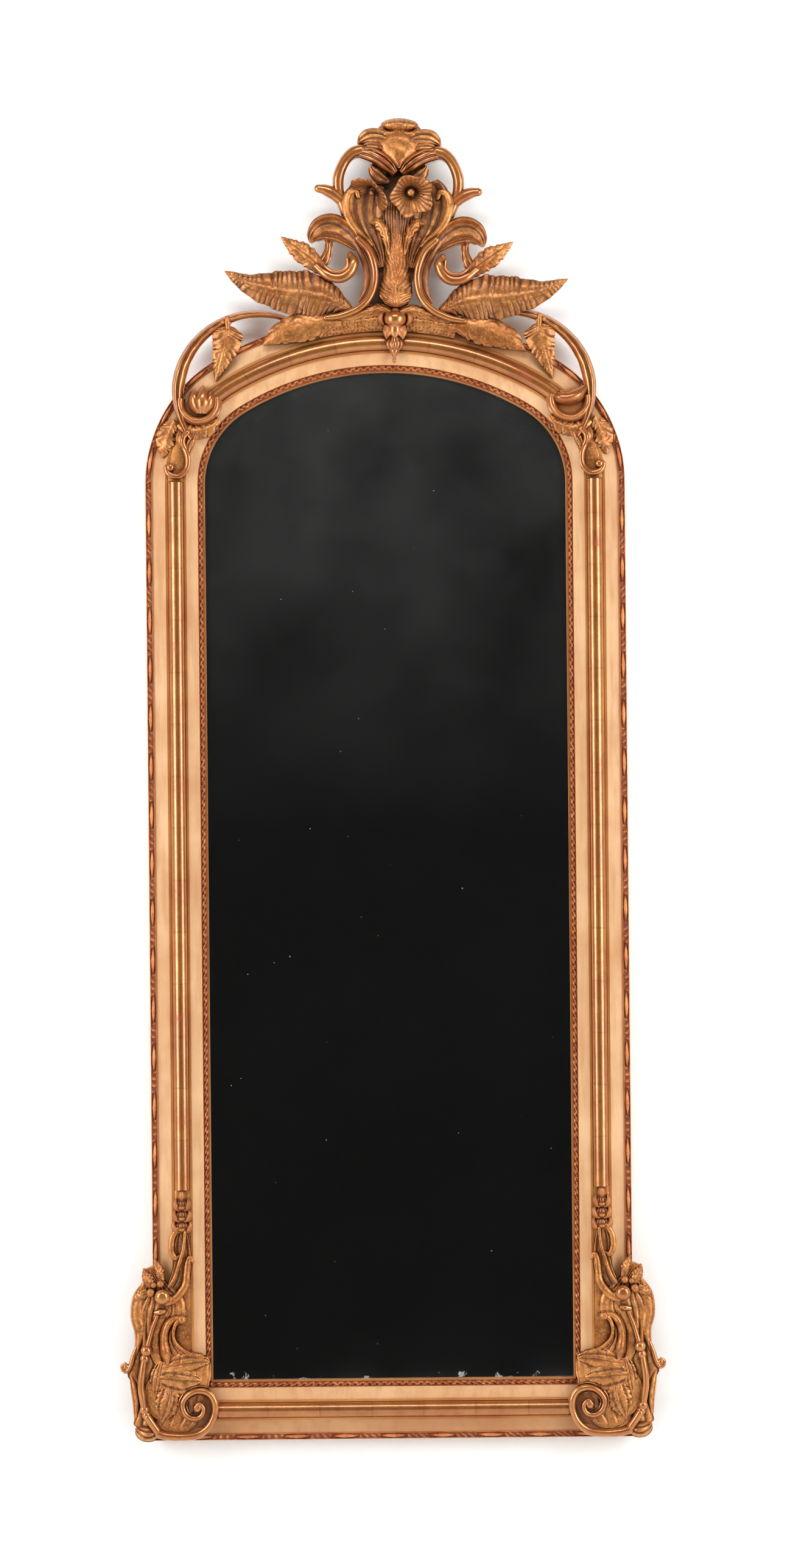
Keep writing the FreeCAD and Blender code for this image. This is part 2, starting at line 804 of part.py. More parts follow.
# Plume of the crest: a long tongue leaf in front of a wide fan, between two C-scrolls.
thick = size("c_scroll_thickness").value
on_mound = size("mound_front").value
low = on_mound + thick / 2 + 0.1
c_scrolls = both(rod(on_crest, [(63, 169, 64), (46, 152, 61), (36, 125, 57), (35, 100, 55),
                                (43, 75, 55), (62, 56, low), (90, 44, low), (112, 41, low)],
                     thick, thick), CREST_AXIS)
carve("crest_c_scrolls", c_scrolls, on_crest, 0, 100)
tongue = leaf(on_crest, [(0, 61, 13, 13, 0), (0, 82, 20, 20, 0), (0, 112, 23, 23, 0),
                         (0, 146, 24, 24, 0), (0, 182, 18, 18, 0)], carving_plane, 8, 14)
tongue = seated(tongue, [mound])
carve("crest_tongue", [tongue], on_crest, 0, 60)
fan = leaf(on_crest, [(0, 122, 28, 28, 0), (0, 142, 50, 50, 0), (0, 164, 71, 71, 0),
                      (0, 205, 84, 84, 0), (0, 245, 87, 87, 0), (0, 264, 62, 62, 0)],
           carving_plane, 8, 16)
fan = seated(fan, [tongue] + c_scrolls)
carve("crest_fan", [fan], on_crest, 0, 200)
hood = leaf(on_crest, [(0, 270, 20, 20, 0), (0, 290, 28, 28, 0), (0, 306, 48, 48, 0),
                       (0, 324, 61, 61, 0), (0, 338, 54, 54, 0), (0, 351, 26, 26, 0)],
            carving_plane, 14, 26)
carve("crest_hood", [hood], on_crest, 0, 310)
finial = leaf(on_crest, [(-29, 357, 3, 3, 0), (-18, 360, 10, 11, 0), (0, 361, 11, 13, 0),
                         (18, 360, 10, 11, 0), (29, 357, 3, 3, 0)], carving_plane, 18, 14)
carve("crest_finial", [seated(finial, [hood])], on_crest, 0, 360)
arm = rod(on_crest, [(92, 230, 50), (98, 252, 50), (97, 271, 52), (86, 297, 54), (70, 312, 56),
                     (50, 314, 58)], 19, 20)
bud = rod(on_crest, [(97, 240, 50), (118, 249, 52), (136, 252, 54)], 17, 8, stations=6)
arms = both(arm.fuse(bud), CREST_AXIS, [fan, hood])
carve("crest_arms", arms, on_crest, 0, 270)
ears = both(leaf(on_crest, [(64, 160, 8, 8, 4), (84, 178, 20, 19, 4), (106, 189, 22, 21, 4),
                            (126, 187, 18, 14, 4), (139, 173, 6, 6, 4)], carving_plane, 6, 12),
            CREST_AXIS, [fan] + arms)
carve("crest_ears", ears, on_crest, 0, 185)


def trumpet(middle, depth, tilt_side, tilt_down):
    """Open flower: a flaring cup with a stamen, turned and then aimed."""
    cup = [(0, 0), (9, 0), (15, 10), (24, 20), (33, 26), (31, 28), (21, 23), (10, 14), (0, 12)]
    face = Part.Face(Part.makePolygon([Vector(r, -d, 0) for r, d in cup + cup[:1]]))
    flower = face.revolve(Vector(0, 0, 0), Vector(0, 1, 0), 360)
    flower = flower.fuse(Part.makeCone(6, 3, 14, Vector(0, -11, 0), Vector(0, -1, 0)))
    flower.rotate(Vector(0, 0, 0), Vector(1, 0, 0), tilt_down)
    flower.rotate(Vector(0, 0, 0), Vector(0, 0, 1), tilt_side)
    flower.translate(on_crest(*middle, depth))
    return flower


flower_right = seated(trumpet((24, 243), 55, 8, 12), [fan, hood])
carve("crest_flower_right", [flower_right], on_crest, 24, 243)
flower_left = seated(trumpet((-36, 244), 56, -30, 34), [fan, hood, flower_right])
carve("crest_flower_left", [flower_left], on_crest, -36, 244)

# Side foliage of the crest: long ribbed leaves, small scrolls, small leaves and arch leaves.
lift = on_mound - carving_plane
long_leaf = leaf(on_crest, [(78, 56, 7, 7, lift), (105, 68, 21, 21, lift),
                            (135, 76, 37, 34, lift), (170, 79, 37, 33, lift),
                            (205, 84, 30, 27, lift), (240, 92, 16, 17, lift + 2),
                            (266, 105, 8, 8, lift + 5), (280, 112, 2, 2, lift + 8)],
                 carving_plane, 4, 8)
long_leaves = both(long_leaf, CREST_AXIS, c_scrolls)
carve_hands("crest_long_leaf", long_leaves, on_crest, 170, 79)
curls = both(rod(on_crest, [(79, 152, 58), (76, 136, 58), (80, 118, 58), (92, 108, 59),
                            (106, 106, 60), (118, 111, 60), (128, 122, 60)], 14, 12),
             CREST_AXIS, long_leaves + c_scrolls + ears + [fan])
carve("crest_curls", curls, on_crest, 0, 120)
small_leaves = both(leaf(on_crest, [(118, 116, 9, 9, 12), (136, 131, 16, 15, 12),
                                    (156, 146, 19, 17, 13), (174, 159, 11, 11, 15),
                                    (189, 170, 2, 2, 17)], carving_plane, 4, 8),
                    CREST_AXIS, curls + long_leaves + ears)
carve("crest_small_leaves", small_leaves, on_crest, 0, 145)
arch_leaves = both(leaf(on_crest, [(76, 30, 6, 6, 0), (100, 31, 14, 14, 0),
                                   (130, 29, 21, 23, 0), (160, 23, 24, 23, 0),
                                   (190, 11, 19, 15, 0), (213, -4, 3, 3, 0)],
                        carving_plane, 6, 7), CREST_AXIS, [mound, arch_round] + long_leaves)
carve("crest_arch_leaves", arch_leaves, on_crest, 0, 25)
boss = turned(on_crest, (0, 40), [(17, on_mound), (17, on_mound + 6), (13, on_mound + 15),
                                  (0, on_mound + 19)])
carve("crest_boss", [boss], on_crest, 0, 40)
drop = leaf(on_crest, [(0, 24, 9, 9, 0), (0, 13, 18, 18, 0), (0, 2, 13, 13, 0),
                       (0, -10, 7, 7, 0), (0, -17, 3, 3, 0), (0, -23, 5, 5, 0),
                       (0, -28, 2, 2, 0)], carving_plane, 7, 16)
carve("crest_drop", [seated(drop, [mound, arch_round, boss])], on_crest, 0, 10)

# Shoulder sprays: an arched stem, a scroll round a bud, leaves and a small tail scroll.
STEM_CENTRE = (48, 146)
STEM_RADIUS = 135
SCROLL_CENTRE = (140, 134)
SCROLL_RADIUS = 34


def arc_points(centre, radius, start, end, count, depth):
    """Points on an arc, angles in degrees measured from the outward direction."""
    turns = [math.radians(start + (end - start) * index / (count - 1)) for index in range(count)]
    return [(centre[0] + radius * math.cos(turn), centre[1] + radius * math.sin(turn), depth)
            for turn in turns]


stems = both(rod(by_shoulder, arc_points(STEM_CENTRE, STEM_RADIUS, 98, -30, 9,
                                         carving_plane + 8), 13, 16), FRAME_AXIS,
             long_leaves + arch_leaves)
carve("shoulder_stems", stems, by_shoulder, 182, 130)
scroll_path = arc_points(SCROLL_CENTRE, SCROLL_RADIUS, 5, -165, 8, carving_plane + 6)
scroll_path += [(SCROLL_CENTRE[0] - 29, SCROLL_CENTRE[1] + 3, carving_plane + 6)]
scrolls = both(rod(by_shoulder, scroll_path, 12, 9), FRAME_AXIS, stems)
carve("shoulder_scrolls", scrolls, by_shoulder, 140, 134)
bed = size("round_bed").value
big_buds = both(leaf(by_shoulder, [(123, 136, 3, 3, 0), (131, 139, 11, 11, 0),
                                   (145, 141, 14, 14, 0), (157, 144, 11, 11, 0),
                                   (164, 147, 3, 3, 0)], carving_plane, 5, 18),
                FRAME_AXIS, scrolls + stems + [arch_round])
small_buds = both(leaf(by_shoulder, [(173, 77, 2, 2, 0), (172, 71, 6, 6, 0), (172, 62, 6, 6, 0),
                                     (171, 56, 2, 2, 0)], bed, 5, 24), FRAME_AXIS, stems)
carve("shoulder_buds", big_buds + small_buds, by_shoulder, 143, 141)
skirts = both(leaf(by_shoulder, [(106, 104, 3, 5, 0), (122, 91, 8, 12, 0), (145, 86, 8, 12, 0),
                                 (166, 90, 6, 10, 0), (180, 99, 3, 4, 0)],
                   carving_plane, 4, 5), FRAME_AXIS, scrolls + stems + small_buds)
vine_leaves = both(leaf(by_shoulder, [(184, 101, 3, 3, 0), (186, 89, 14, 13, 0),
                                      (191, 73, 19, 18, 0), (195, 57, 13, 13, 0),
                                      (200, 46, 3, 3, 0)], carving_plane, 4, 7),
                   FRAME_AXIS, stems + skirts + small_buds)
carve("shoulder_leaves", skirts + vine_leaves, by_shoulder, 191, 73)
on_bead = size("bead_bed").value + size("bead_width").value * 0.9
hanging = both(leaf(by_shoulder, [(88, 268, 4, 4, 0), (90, 257, 14, 14, 0), (94, 246, 27, 26, 0),
                                  (98, 226, 24, 23, 0), (104, 206, 17, 17, 0),
                                  (110, 188, 11, 10, 0), (116, 170, 2, 2, 0)],
                    on_bead, 5, 9), FRAME_AXIS, stems + arch_leaves)
carve("shoulder_hanging_leaves", hanging, by_shoulder, 98, 226)
tail = rod(by_shoulder, [(163, 50, 43), (160, 31, 43), (167, 14, 43), (182, 8, 43), (195, 14, 43),
                         (197, 24, 43), (191, 28, 43)], 8, 7)
tail = tail.fuse(Part.makeSphere(6, by_shoulder(190, 25, 44)))
tails = both(tail, FRAME_AXIS, small_buds + vine_leaves)
carve("shoulder_tails", tails, by_shoulder, 180, 20)

# Lower corners: a shaped panel with volute, acanthus, reed, foot, buds and husks.
panel_edge = [(-60, 18), (-10, 17), (29, 26), (31, 40), (27, 66), (35, 96), (44, 112), (37, 134),
              (28, 160), (31, 190), (35, 214), (22, 238), (13, 258), (16, 280), (-2, 289),
              (-24, 264), (-48, 236), (-58, 212), (-40, 186), (-40, 162), (-60, 149), (-90, 138),
              (-95, 112), (-88, 70), (-80, 36)]
panel_front = carving_plane + 8
panel = plate(by_corner, panel_edge, carving_plane, panel_front)
panels = both(panel, FRAME_AXIS)
half = size("volute_thickness").value / 2
roll = panel_front + half
volute = rod(by_corner, [(-8, 13, roll), (-30, 8, roll), (-56, 7, roll), (-80, 13, roll),
                         (-96, 31, roll), (-101, 55, roll), (-94, 76, roll), (-77, 86, roll),
                         (-60, 80, roll), (-52, 63, roll), (-56, 46, roll), (-69, 38, roll),
                         (-82, 45, roll), (-84, 57, roll), (-77, 65, roll)],
             2 * half, half * 1.3, stations=30)
volute = volute.fuse(Part.makeSphere(8, by_corner(-73, 56, roll - 1)))
volutes = both(volute, FRAME_AXIS, panels)
reed_points = [(-4, 22), (6, 36), (13, 48), (17, 64), (18, 92), (16, 125), (10, 146), (4, 168),
               (-2, 188), (-8, 206)]
reed_foot = half * 0.85
reed_tip = half * 0.45
reed_joint = half * 0.9
reed_seat = panel_front + 0.2
reed_path = []
for place, (across, up) in enumerate(reed_points):
    radius = reed_foot + (reed_tip - reed_foot) * place / (len(reed_points) - 1)
    reed_path.append((across, up, reed_seat + radius))
reed = rod(by_corner, reed_path, 2 * reed_foot, 2 * reed_tip)
reed = reed.fuse([Part.makeSphere(reed_joint, by_corner(*reed_points[place], reed_seat + reed_joint))
                  for place in (2, 6)])
reeds = both(reed, FRAME_AXIS, volutes)
feet = both(turned(by_corner, (10, 16.2), [(16, carving_plane), (16, carving_plane + 8),
                                           (12, carving_plane + 18), (0, carving_plane + 23)]),
            FRAME_AXIS, panels + volutes + reeds)
husk_heights = (404, 388, 371, 354)
husk_shapes = [leaf(by_corner, [(-51, up - 9, 3, 3, 0), (-51, up - 3, 9, 9, 0),
                                (-51, up + 4, 7, 7, 0), (-51, up + 7.5, 2, 2, 0)], bed, 4, 14)
               for up in husk_heights]
husks = [one for shape in husk_shapes for one in both(shape, FRAME_AXIS)]
sheaths = both(leaf(by_corner, [(-51, 352, 4, 4, 0), (-50, 335, 12, 13, 0), (-48, 310, 17, 17, 0),
                                (-43, 285, 15, 20, 0), (-35, 262, 12, 18, 0),
                                (-25, 242, 8, 10, 0)], carving_plane, 4, 8),
               FRAME_AXIS, panels + husks)
fans = both(leaf(by_corner, [(-46, 62, 6, 10, 0), (-43, 90, 30, 18, 0), (-38, 120, 46, 16, 0),
                             (-35, 146, 24, 12, 0), (-38, 178, 8, 9, 0), (-49, 204, 4, 4, 0)],
                 panel_front, 4, 9), FRAME_AXIS, volutes + reeds)
buds = both(turned(by_corner, (-17, 243), [(12.5, panel_front), (12.5, panel_front + 6),
                                           (9, panel_front + 13), (0, panel_front + 16)]),
            FRAME_AXIS, sheaths)
curl_balls = both(turned(by_corner, (44, 122), [(9, panel_front), (10, panel_front + 5),
                                                (7, panel_front + 11), (0, panel_front + 13)]),
                  FRAME_AXIS)
carve("corner_panels", panels, by_corner, 0, 100)
carve("corner_volutes", volutes, by_corner, -73, 56)
carve("corner_reeds", reeds, by_corner, 18, 92)
carve("corner_feet", feet, by_corner, 10, 16)
carve("corner_leaves", fans + sheaths, by_corner, -38, 120)
carve("corner_buds", buds + curl_balls, by_corner, -17, 243)
carve("corner_husks", husks, by_corner, -51, 380)

doc.recompute()
faults = [item.Label for item in doc.Objects if {"Invalid", "Error"} & set(item.State)]
faults += [label for label, node in nodes.items()
           if node.Shape.isNull() or not node.Shape.isValid() or not node.Shape.Solids]
if faults:
    raise RuntimeError(f"these did not build: {faults}")

os.makedirs("parts", exist_ok=True)
for label, node in nodes.items():
    node.Shape.exportStep(f"parts/{label}.step")
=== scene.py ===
import math

import bpy
import numpy as np
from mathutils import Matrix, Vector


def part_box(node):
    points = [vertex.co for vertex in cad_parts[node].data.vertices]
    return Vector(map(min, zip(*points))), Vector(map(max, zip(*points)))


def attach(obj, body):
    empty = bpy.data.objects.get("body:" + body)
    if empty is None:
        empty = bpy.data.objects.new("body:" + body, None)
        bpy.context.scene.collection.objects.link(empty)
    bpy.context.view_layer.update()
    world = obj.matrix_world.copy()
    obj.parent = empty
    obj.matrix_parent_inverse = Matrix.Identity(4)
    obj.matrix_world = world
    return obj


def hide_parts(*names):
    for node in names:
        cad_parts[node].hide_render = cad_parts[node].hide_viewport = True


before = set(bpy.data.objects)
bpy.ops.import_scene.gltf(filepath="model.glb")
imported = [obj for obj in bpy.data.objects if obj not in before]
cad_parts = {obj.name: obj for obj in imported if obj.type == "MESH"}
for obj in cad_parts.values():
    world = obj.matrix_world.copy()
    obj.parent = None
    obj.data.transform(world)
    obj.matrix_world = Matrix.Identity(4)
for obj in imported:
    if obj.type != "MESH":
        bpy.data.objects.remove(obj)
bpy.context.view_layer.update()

# Frame timber: two stiles and a rail mitred at the lower corners, and a head of three sawn
# segments. Softwood under gesso, painted cream in the two hollows and gilded on the narrow
# fillets. All stretches are run with one moulding that follows the three-centred arch.
MM = 0.001
HALF_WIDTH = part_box("stile_right")[1][0] / MM
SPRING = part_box("stile_right")[1][2] / MM
OUTER_CROWN = 547.5
OUTER_SHOULDER = 235.5
CROWN_CENTRE = (0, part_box("head_crown")[1][2] / MM - OUTER_CROWN)
SHOULDER_OUT = HALF_WIDTH - OUTER_SHOULDER
CROWN_HALF_TURN = math.degrees(math.atan2(SHOULDER_OUT, SPRING - CROWN_CENTRE[1]))
BEAD_EDGE, COVE_EDGE, ROUND_START, ROUND_END, SLOPE_START, SLOPE_EDGE = 11, 33, 38, 63, 68, 86
STRIP_EDGE, SIGHT_EDGE, GLASS_EDGE, BOARD_EDGE = 95, 97.5, 88.5, 72.5
BEAD_BED, ROUND_BED, SIGHT_BED, FILLET, LIP, GLASS_BED, BOARD_BED = 26, 35, 22, 39, 24.5, 18, 8


def rail_line(count):
    """Outer edge of the rail and the way in from it, turned 45 degrees at the mitres."""
    step = np.linspace(-1, 1, count)
    return np.stack([step * HALF_WIDTH, 0 * step], 1), np.stack([-step, 1 + 0 * step], 1)


def stile_line(side, count):
    """Outer edge of a stile from its mitre to the spring of the arch."""
    step = np.linspace(0, 1, count)
    edge = np.stack([side * HALF_WIDTH + 0 * step, step * SPRING], 1)
    return edge, np.stack([-side + 0 * step, 1 - step], 1)


def bend_line(centre, radius, start, end, count):
    """Outer edge of a bent stretch of the head."""
    turn = np.radians(np.linspace(start, end, count))
    out = np.stack([np.cos(turn), np.sin(turn)], 1)
    return np.array(centre) + radius * out, -out


def shoulder_line(side, count):
    start, end = (0, 90 - CROWN_HALF_TURN) if side > 0 else (90 + CROWN_HALF_TURN, 180)
    return bend_line((side * SHOULDER_OUT, SPRING), OUTER_SHOULDER, start, end, count)


def crown_line(count, half_turn=CROWN_HALF_TURN):
    return bend_line(CROWN_CENTRE, OUTER_CROWN, 90 - half_turn, 90 + half_turn, count)


def laid(name, across, up, depth, **marks):
    """A grid of faces whose points are laid at the given places in millimetres: across and up
    in the plane of the wall, depth forward from it. Marks are kept as point attributes."""
    rows, columns = across.shape
    bpy.ops.object.select_all(action="DESELECT")
    bpy.ops.mesh.primitive_grid_add(x_subdivisions=columns - 1, y_subdivisions=rows - 1, size=2)
    piece = bpy.context.object
    piece.name = name
    mesh = piece.data
    flat = np.empty(len(mesh.vertices) * 3)
    mesh.vertices.foreach_get("co", flat)
    column = np.rint((flat[0::3] + 1) / 2 * (columns - 1)).astype(int)
    row = np.rint((flat[1::3] + 1) / 2 * (rows - 1)).astype(int)
    places = np.stack([across, -depth, up], axis=2) * MM
    mesh.vertices.foreach_set("co", places[row, column].ravel())
    for mark, values in marks.items():
        layer = mesh.attributes.new(mark, "FLOAT", "POINT")
        spread = np.broadcast_to(values, across.shape)
        layer.data.foreach_set("value", spread[row, column].astype(np.float32))
    return piece


def closed(piece, smooth=40):
    """Seams welded, open ends filled and faces turned outward."""
    bpy.ops.object.mode_set(mode="EDIT")
    bpy.ops.mesh.select_all(action="SELECT")
    bpy.ops.mesh.remove_doubles(threshold=0.01 * MM)
    bpy.ops.mesh.fill_holes(sides=0)
    bpy.ops.mesh.select_all(action="SELECT")
    bpy.ops.mesh.normals_make_consistent(inside=False)
    bpy.ops.object.mode_set(mode="OBJECT")
    bpy.ops.object.shade_smooth_by_angle(angle=math.radians(smooth))
    return piece


def made(name, parts, finish, slot, *nodes, body="mirror"):
    """Parts glued into one piece that stands for its solids and takes its finish."""
    bpy.ops.object.select_all(action="DESELECT")
    for part in parts:
        part.select_set(True)
    bpy.context.view_layer.objects.active = parts[0]
    if len(parts) > 1:
        bpy.ops.object.join()
    piece = bpy.context.object
    piece.name = name
    piece.data.name = name
    piece.data.materials.clear()
    piece.data.materials.append(finish.material)
    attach(piece, body)
    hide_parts(*nodes)
    return piece


def moulded(name, line, section):
    """A length of moulding: a closed section of (inset, depth, cream, gilt) run along a line."""
    edge, inward = line
    inset, depth, cream, gilt = np.array(section + section[:1]).T
    across = edge[:, :1] + inward[:, :1] * inset
    up = edge[:, 1:] + inward[:, 1:] * inset
    run = np.cumsum(np.linalg.norm(np.diff(edge, axis=0, prepend=edge[:1]), axis=1))[:, None] * MM
    piece = laid(name, across, up, np.broadcast_to(depth, across.shape), cream=cream, gilt=gilt, run=run)
    return closed(piece, smooth=25)


class Wire:
    """A socket of a finish. Sums on it add Math nodes."""

    def __init__(self, finish, socket):
        self.finish = finish
        self.socket = socket

    def math(self, operation, *values):
        sockets = dict(enumerate(values))
        return self.finish.node("ShaderNodeMath", {"operation": operation}, sockets)

    def __add__(self, other):
        return self.math("ADD", self, other)

    def __radd__(self, other):
        return self.math("ADD", other, self)

    def __sub__(self, other):
        return self.math("SUBTRACT", self, other)

    def __rsub__(self, other):
        return self.math("SUBTRACT", other, self)

    def __mul__(self, other):
        return self.math("MULTIPLY", self, other)

    def __rmul__(self, other):
        return self.math("MULTIPLY", other, self)

    def clamp(self, low, high):
        """0 at low and 1 at high, held between."""
        sockets = {0: self, 1: low, 2: high, 3: 0.0, 4: 1.0}
        return self.finish.node("ShaderNodeMapRange", {"clamp": True}, sockets)


def tint(red, green, blue):
    """A colour given as it looks on a screen, 0 to 255, in the linear values a shader takes."""
    shares = [value / 255 for value in (red, green, blue)]
    return (*(s / 12.92 if s <= 0.04045 else ((s + 0.055) / 1.055) ** 2.4 for s in shares), 1)


class Finish:
    """A material built node by node on the object's own coordinates."""

    def __init__(self, name):
        self.material = bpy.data.materials.new(name)
        self.material.use_nodes = True
        self.tree = self.material.node_tree
        self.tree.nodes.clear()
        self.place = self.node("ShaderNodeTexCoord", output="Object")

    def node(self, kind, settings=None, sockets=None, output=0):
        """Any node: its settings, then the values or links of its sockets."""
        node = self.tree.nodes.new(kind)
        for name, value in (settings or {}).items():
            setattr(node, name, value)
        for key, value in (sockets or {}).items():
            if isinstance(value, Wire):
                self.tree.links.new(value.socket, node.inputs[key])
            else:
                node.inputs[key].default_value = value
        return Wire(self, node.outputs[output])

    def stretched(self, x, y, z):
        """The object's coordinates drawn out along an axis."""
        return self.node("ShaderNodeMapping", sockets={"Vector": self.place, "Scale": (x, y, z)})

    def noise(self, scale, detail=4, rough=0.55, place=None):
        sockets = {"Vector": place or self.place, "Scale": scale, "Detail": detail, "Roughness": rough}
        return self.node("ShaderNodeTexNoise", sockets=sockets)

    def mark(self, name):
        return self.node("ShaderNodeAttribute", {"attribute_name": name}, output="Fac")

    def height(self):
        """Distance above the foot of the frame, in metres."""
        return self.node("ShaderNodeSeparateXYZ", sockets={0: self.place}, output="Z")

    def mixed(self, share, first, second):
        sockets = {0: share, 6: first, 7: second}
        return self.node("ShaderNodeMix", {"data_type": "RGBA"}, sockets, output=2)

    def back(self):
        """One on faces turned to the wall, which are left ungilded."""
        normal = self.node("ShaderNodeNewGeometry", output="True Normal")
        return self.node("ShaderNodeSeparateXYZ", sockets={0: normal}, output="Y").clamp(0.5, 0.8)

    def recess(self, distance):
        """1 where the carving closes in, 0 where it stands free."""
        sockets = {"Distance": distance}
        return 1 - self.node("ShaderNodeAmbientOcclusion", {"samples": 6}, sockets, output="AO")

    def bump(self, relief, distance, strength=1.0):
        sockets = {"Height": relief, "Distance": distance, "Strength": strength}
        return self.node("ShaderNodeBump", sockets=sockets)

    def surface(self, sockets):
        shader = self.node("ShaderNodeBsdfPrincipled", sockets=sockets)
        self.node_output(shader)

    def node_output(self, shader):
        output = self.tree.nodes.new("ShaderNodeOutputMaterial")
        self.tree.links.new(shader.socket, output.inputs["Surface"])


cream_paint = Finish("cream_paint_and_gilt_fillets")
broad = cream_paint.noise(9, 5)
streak = cream_paint.noise(60, 6, 0.6, cream_paint.stretched(1, 1, 0.12))
speck = cream_paint.noise(420, 3)
# Painted shade with some grime: the paint and the fillet gold are darkened where the moulding closes in,
# standing in for the shade in its hollows.
paint_shade_and_grime = cream_paint.recess(0.03)
paint = cream_paint.mixed(broad.clamp(0.35, 0.7), tint(216, 174, 130), tint(197, 145, 98))
paint = cream_paint.mixed(streak.clamp(0.46, 0.7) * 0.7, paint, tint(184, 128, 80))
# Painted shade: the cream is darker towards the foot of the frame, along the rail, where less light falls on
# it.
low = 1 - cream_paint.height().clamp(0.02, 0.13)
paint = cream_paint.mixed(low * (0.35 + broad * 0.5), paint, tint(172, 116, 70))
paint = cream_paint.mixed(paint_shade_and_grime.clamp(0.2, 0.85) * 0.85, paint, tint(176, 118, 66))
leaf_gold = cream_paint.mixed(broad.clamp(0.3, 0.7), tint(226, 160, 92), tint(186, 112, 58))
leaf_gold = cream_paint.mixed(paint_shade_and_grime.clamp(0.45, 1.0) * 0.75, leaf_gold, tint(92, 48, 22))
bare = cream_paint.mixed(streak.clamp(0.35, 0.65), tint(176, 132, 86), tint(134, 92, 54))
cream_share = cream_paint.mark("cream")
gilt_share = cream_paint.mark("gilt")
coat = cream_paint.mixed(gilt_share, bare, leaf_gold)
coat = cream_paint.mixed(cream_share, coat, paint)
cream_paint.surface({
    "Base Color": coat,
    "Metallic": gilt_share * 0.6,
    "Roughness": 0.62 - gilt_share * 0.3 + speck * 0.1,
    "Normal": cream_paint.bump(streak * 0.6 + speck * 0.4, 0.0006, 0.35),
})

hollow = np.linspace(0, 1, 9)
carcass = [(0, 0, 0, 0), (0, BEAD_BED, 0, 1), (BEAD_EDGE, BEAD_BED, 0, 1)]
carcass += [(BEAD_EDGE + (COVE_EDGE - BEAD_EDGE) * step, 28 + 9 * step ** 2, 1, 0) for step in hollow]
carcass += [(COVE_EDGE, FILLET - 0.6, 0, 1), (COVE_EDGE + 0.7, FILLET, 0, 1),
            (ROUND_START - 0.7, FILLET, 0, 1), (ROUND_START, FILLET - 0.6, 0, 1),
            (ROUND_START, ROUND_BED, 0, 1), (ROUND_END, ROUND_BED, 0, 1),
            (ROUND_END, FILLET - 0.6, 0, 1), (ROUND_END + 0.7, FILLET, 0, 1),
            (SLOPE_START - 0.7, FILLET, 0, 1), (SLOPE_START, FILLET - 0.6, 0, 1)]
slope = SLOPE_EDGE - SLOPE_START
carcass += [(SLOPE_START + slope * step, 29 + 8 * (1 - step) ** 1.5, 1, 0) for step in hollow]
carcass += [(SLOPE_EDGE, SIGHT_BED, 0, 1), (STRIP_EDGE, SIGHT_BED, 0, 1), (STRIP_EDGE, LIP, 0, 1),
            (SIGHT_EDGE, LIP, 0, 1), (SIGHT_EDGE, GLASS_BED, 0, 0), (GLASS_EDGE, GLASS_BED, 0, 0),
            (GLASS_EDGE, BOARD_BED, 0, 0), (BOARD_EDGE, BOARD_BED, 0, 0), (BOARD_EDGE, 0, 0, 0)]
lengths = [("bottom_rail", rail_line(3)), ("stile_left", stile_line(-1, 3)),
           ("stile_right", stile_line(1, 3)), ("head_crown", crown_line(65)),
           ("head_shoulder_left", shoulder_line(-1, 49)),
           ("head_shoulder_right", shoulder_line(1, 49))]
HEAD_TOP = CROWN_CENTRE[1] + OUTER_CROWN
BATTEN_SLOT = (-2, 38), (HEAD_TOP - 62, HEAD_TOP + 5), 9
HANGER_INSET, HANGER_HALF, HANGER_DEPTH = 36, 21, 10
HANGER_SPAN = SPRING - 179, SPRING - 57
housings = {"head_crown": BATTEN_SLOT}
for side, name in ((-1, "stile_left"), (1, "stile_right")):
    middle = side * (HALF_WIDTH - HANGER_INSET)
    housings[name] = (middle - HANGER_HALF, middle + HANGER_HALF), HANGER_SPAN, HANGER_DEPTH


def housed(piece, across, up, depth):
    """A square housing cut into the back of a piece."""
    bpy.ops.mesh.primitive_cube_add(size=2)
    cutter = bpy.context.object
    out = (-depth, 5)
    for point in cutter.data.vertices:
        x, y, z = point.co
        point.co = across[x > 0] * MM, out[y > 0] * MM, up[z > 0] * MM
    cut = piece.modifiers.new("housing", "BOOLEAN")
    cut.object = cutter
    cut.solver = "EXACT"
    bpy.context.view_layer.objects.active = piece
    bpy.ops.object.modifier_apply(modifier="housing")
    bpy.data.objects.remove(cutter)
    return closed(piece, smooth=25)


for node, line in lengths:
    timber = moulded(node, line, carcass)
    if node in housings:
        housed(timber, *housings[node])
    made(f"{node}_timber", [timber], cream_paint, "cream_timber", node)

# Half-round: a thick rounded bead planted between the two fillets on the stiles, the rail
# and the arch. Water gilded on red bole and burnished, so it is bright, lapped and worn red.
ROUND_MIDDLE = (ROUND_START + ROUND_END) / 2
ROUND_RADIUS = 12.4
ROUND_CENTRE = 37.6
ROUND_STOP = 49
LEAVES_A_METRE = 11.7

burnished = Finish("burnished_gilt")
patch = burnished.noise(18, 6, 0.62)
fine = burnished.noise(150, 5, 0.6)
lap = burnished.noise(22, 3, 0.5)
recess_shade_and_grime = burnished.recess(0.03)
sunk = burnished.mark("hollow")
dull = burnished.mark("dull")
gold = burnished.mixed(patch.clamp(0.36, 0.62), tint(216, 146, 78), tint(178, 102, 46))
run = (burnished.mark("run") + patch * 0.01) * LEAVES_A_METRE
lap_line = 1 - run.math("FRACT", run).clamp(0.0, 0.05)
sheet = burnished.node("ShaderNodeTexWhiteNoise", {"noise_dimensions": "1D"}, {"W": run.math("FLOOR", run)})
gold = burnished.mixed(sheet * 0.5, gold, tint(166, 104, 54))
gold = burnished.mixed(run.clamp(0.2, 0.4) * 0.3, gold, tint(150, 94, 52))
gold = burnished.mixed(lap_line * 0.6, gold, tint(142, 76, 36))
gold = burnished.mixed(fine.clamp(0.5, 0.75) * 0.3, gold, tint(158, 82, 38))
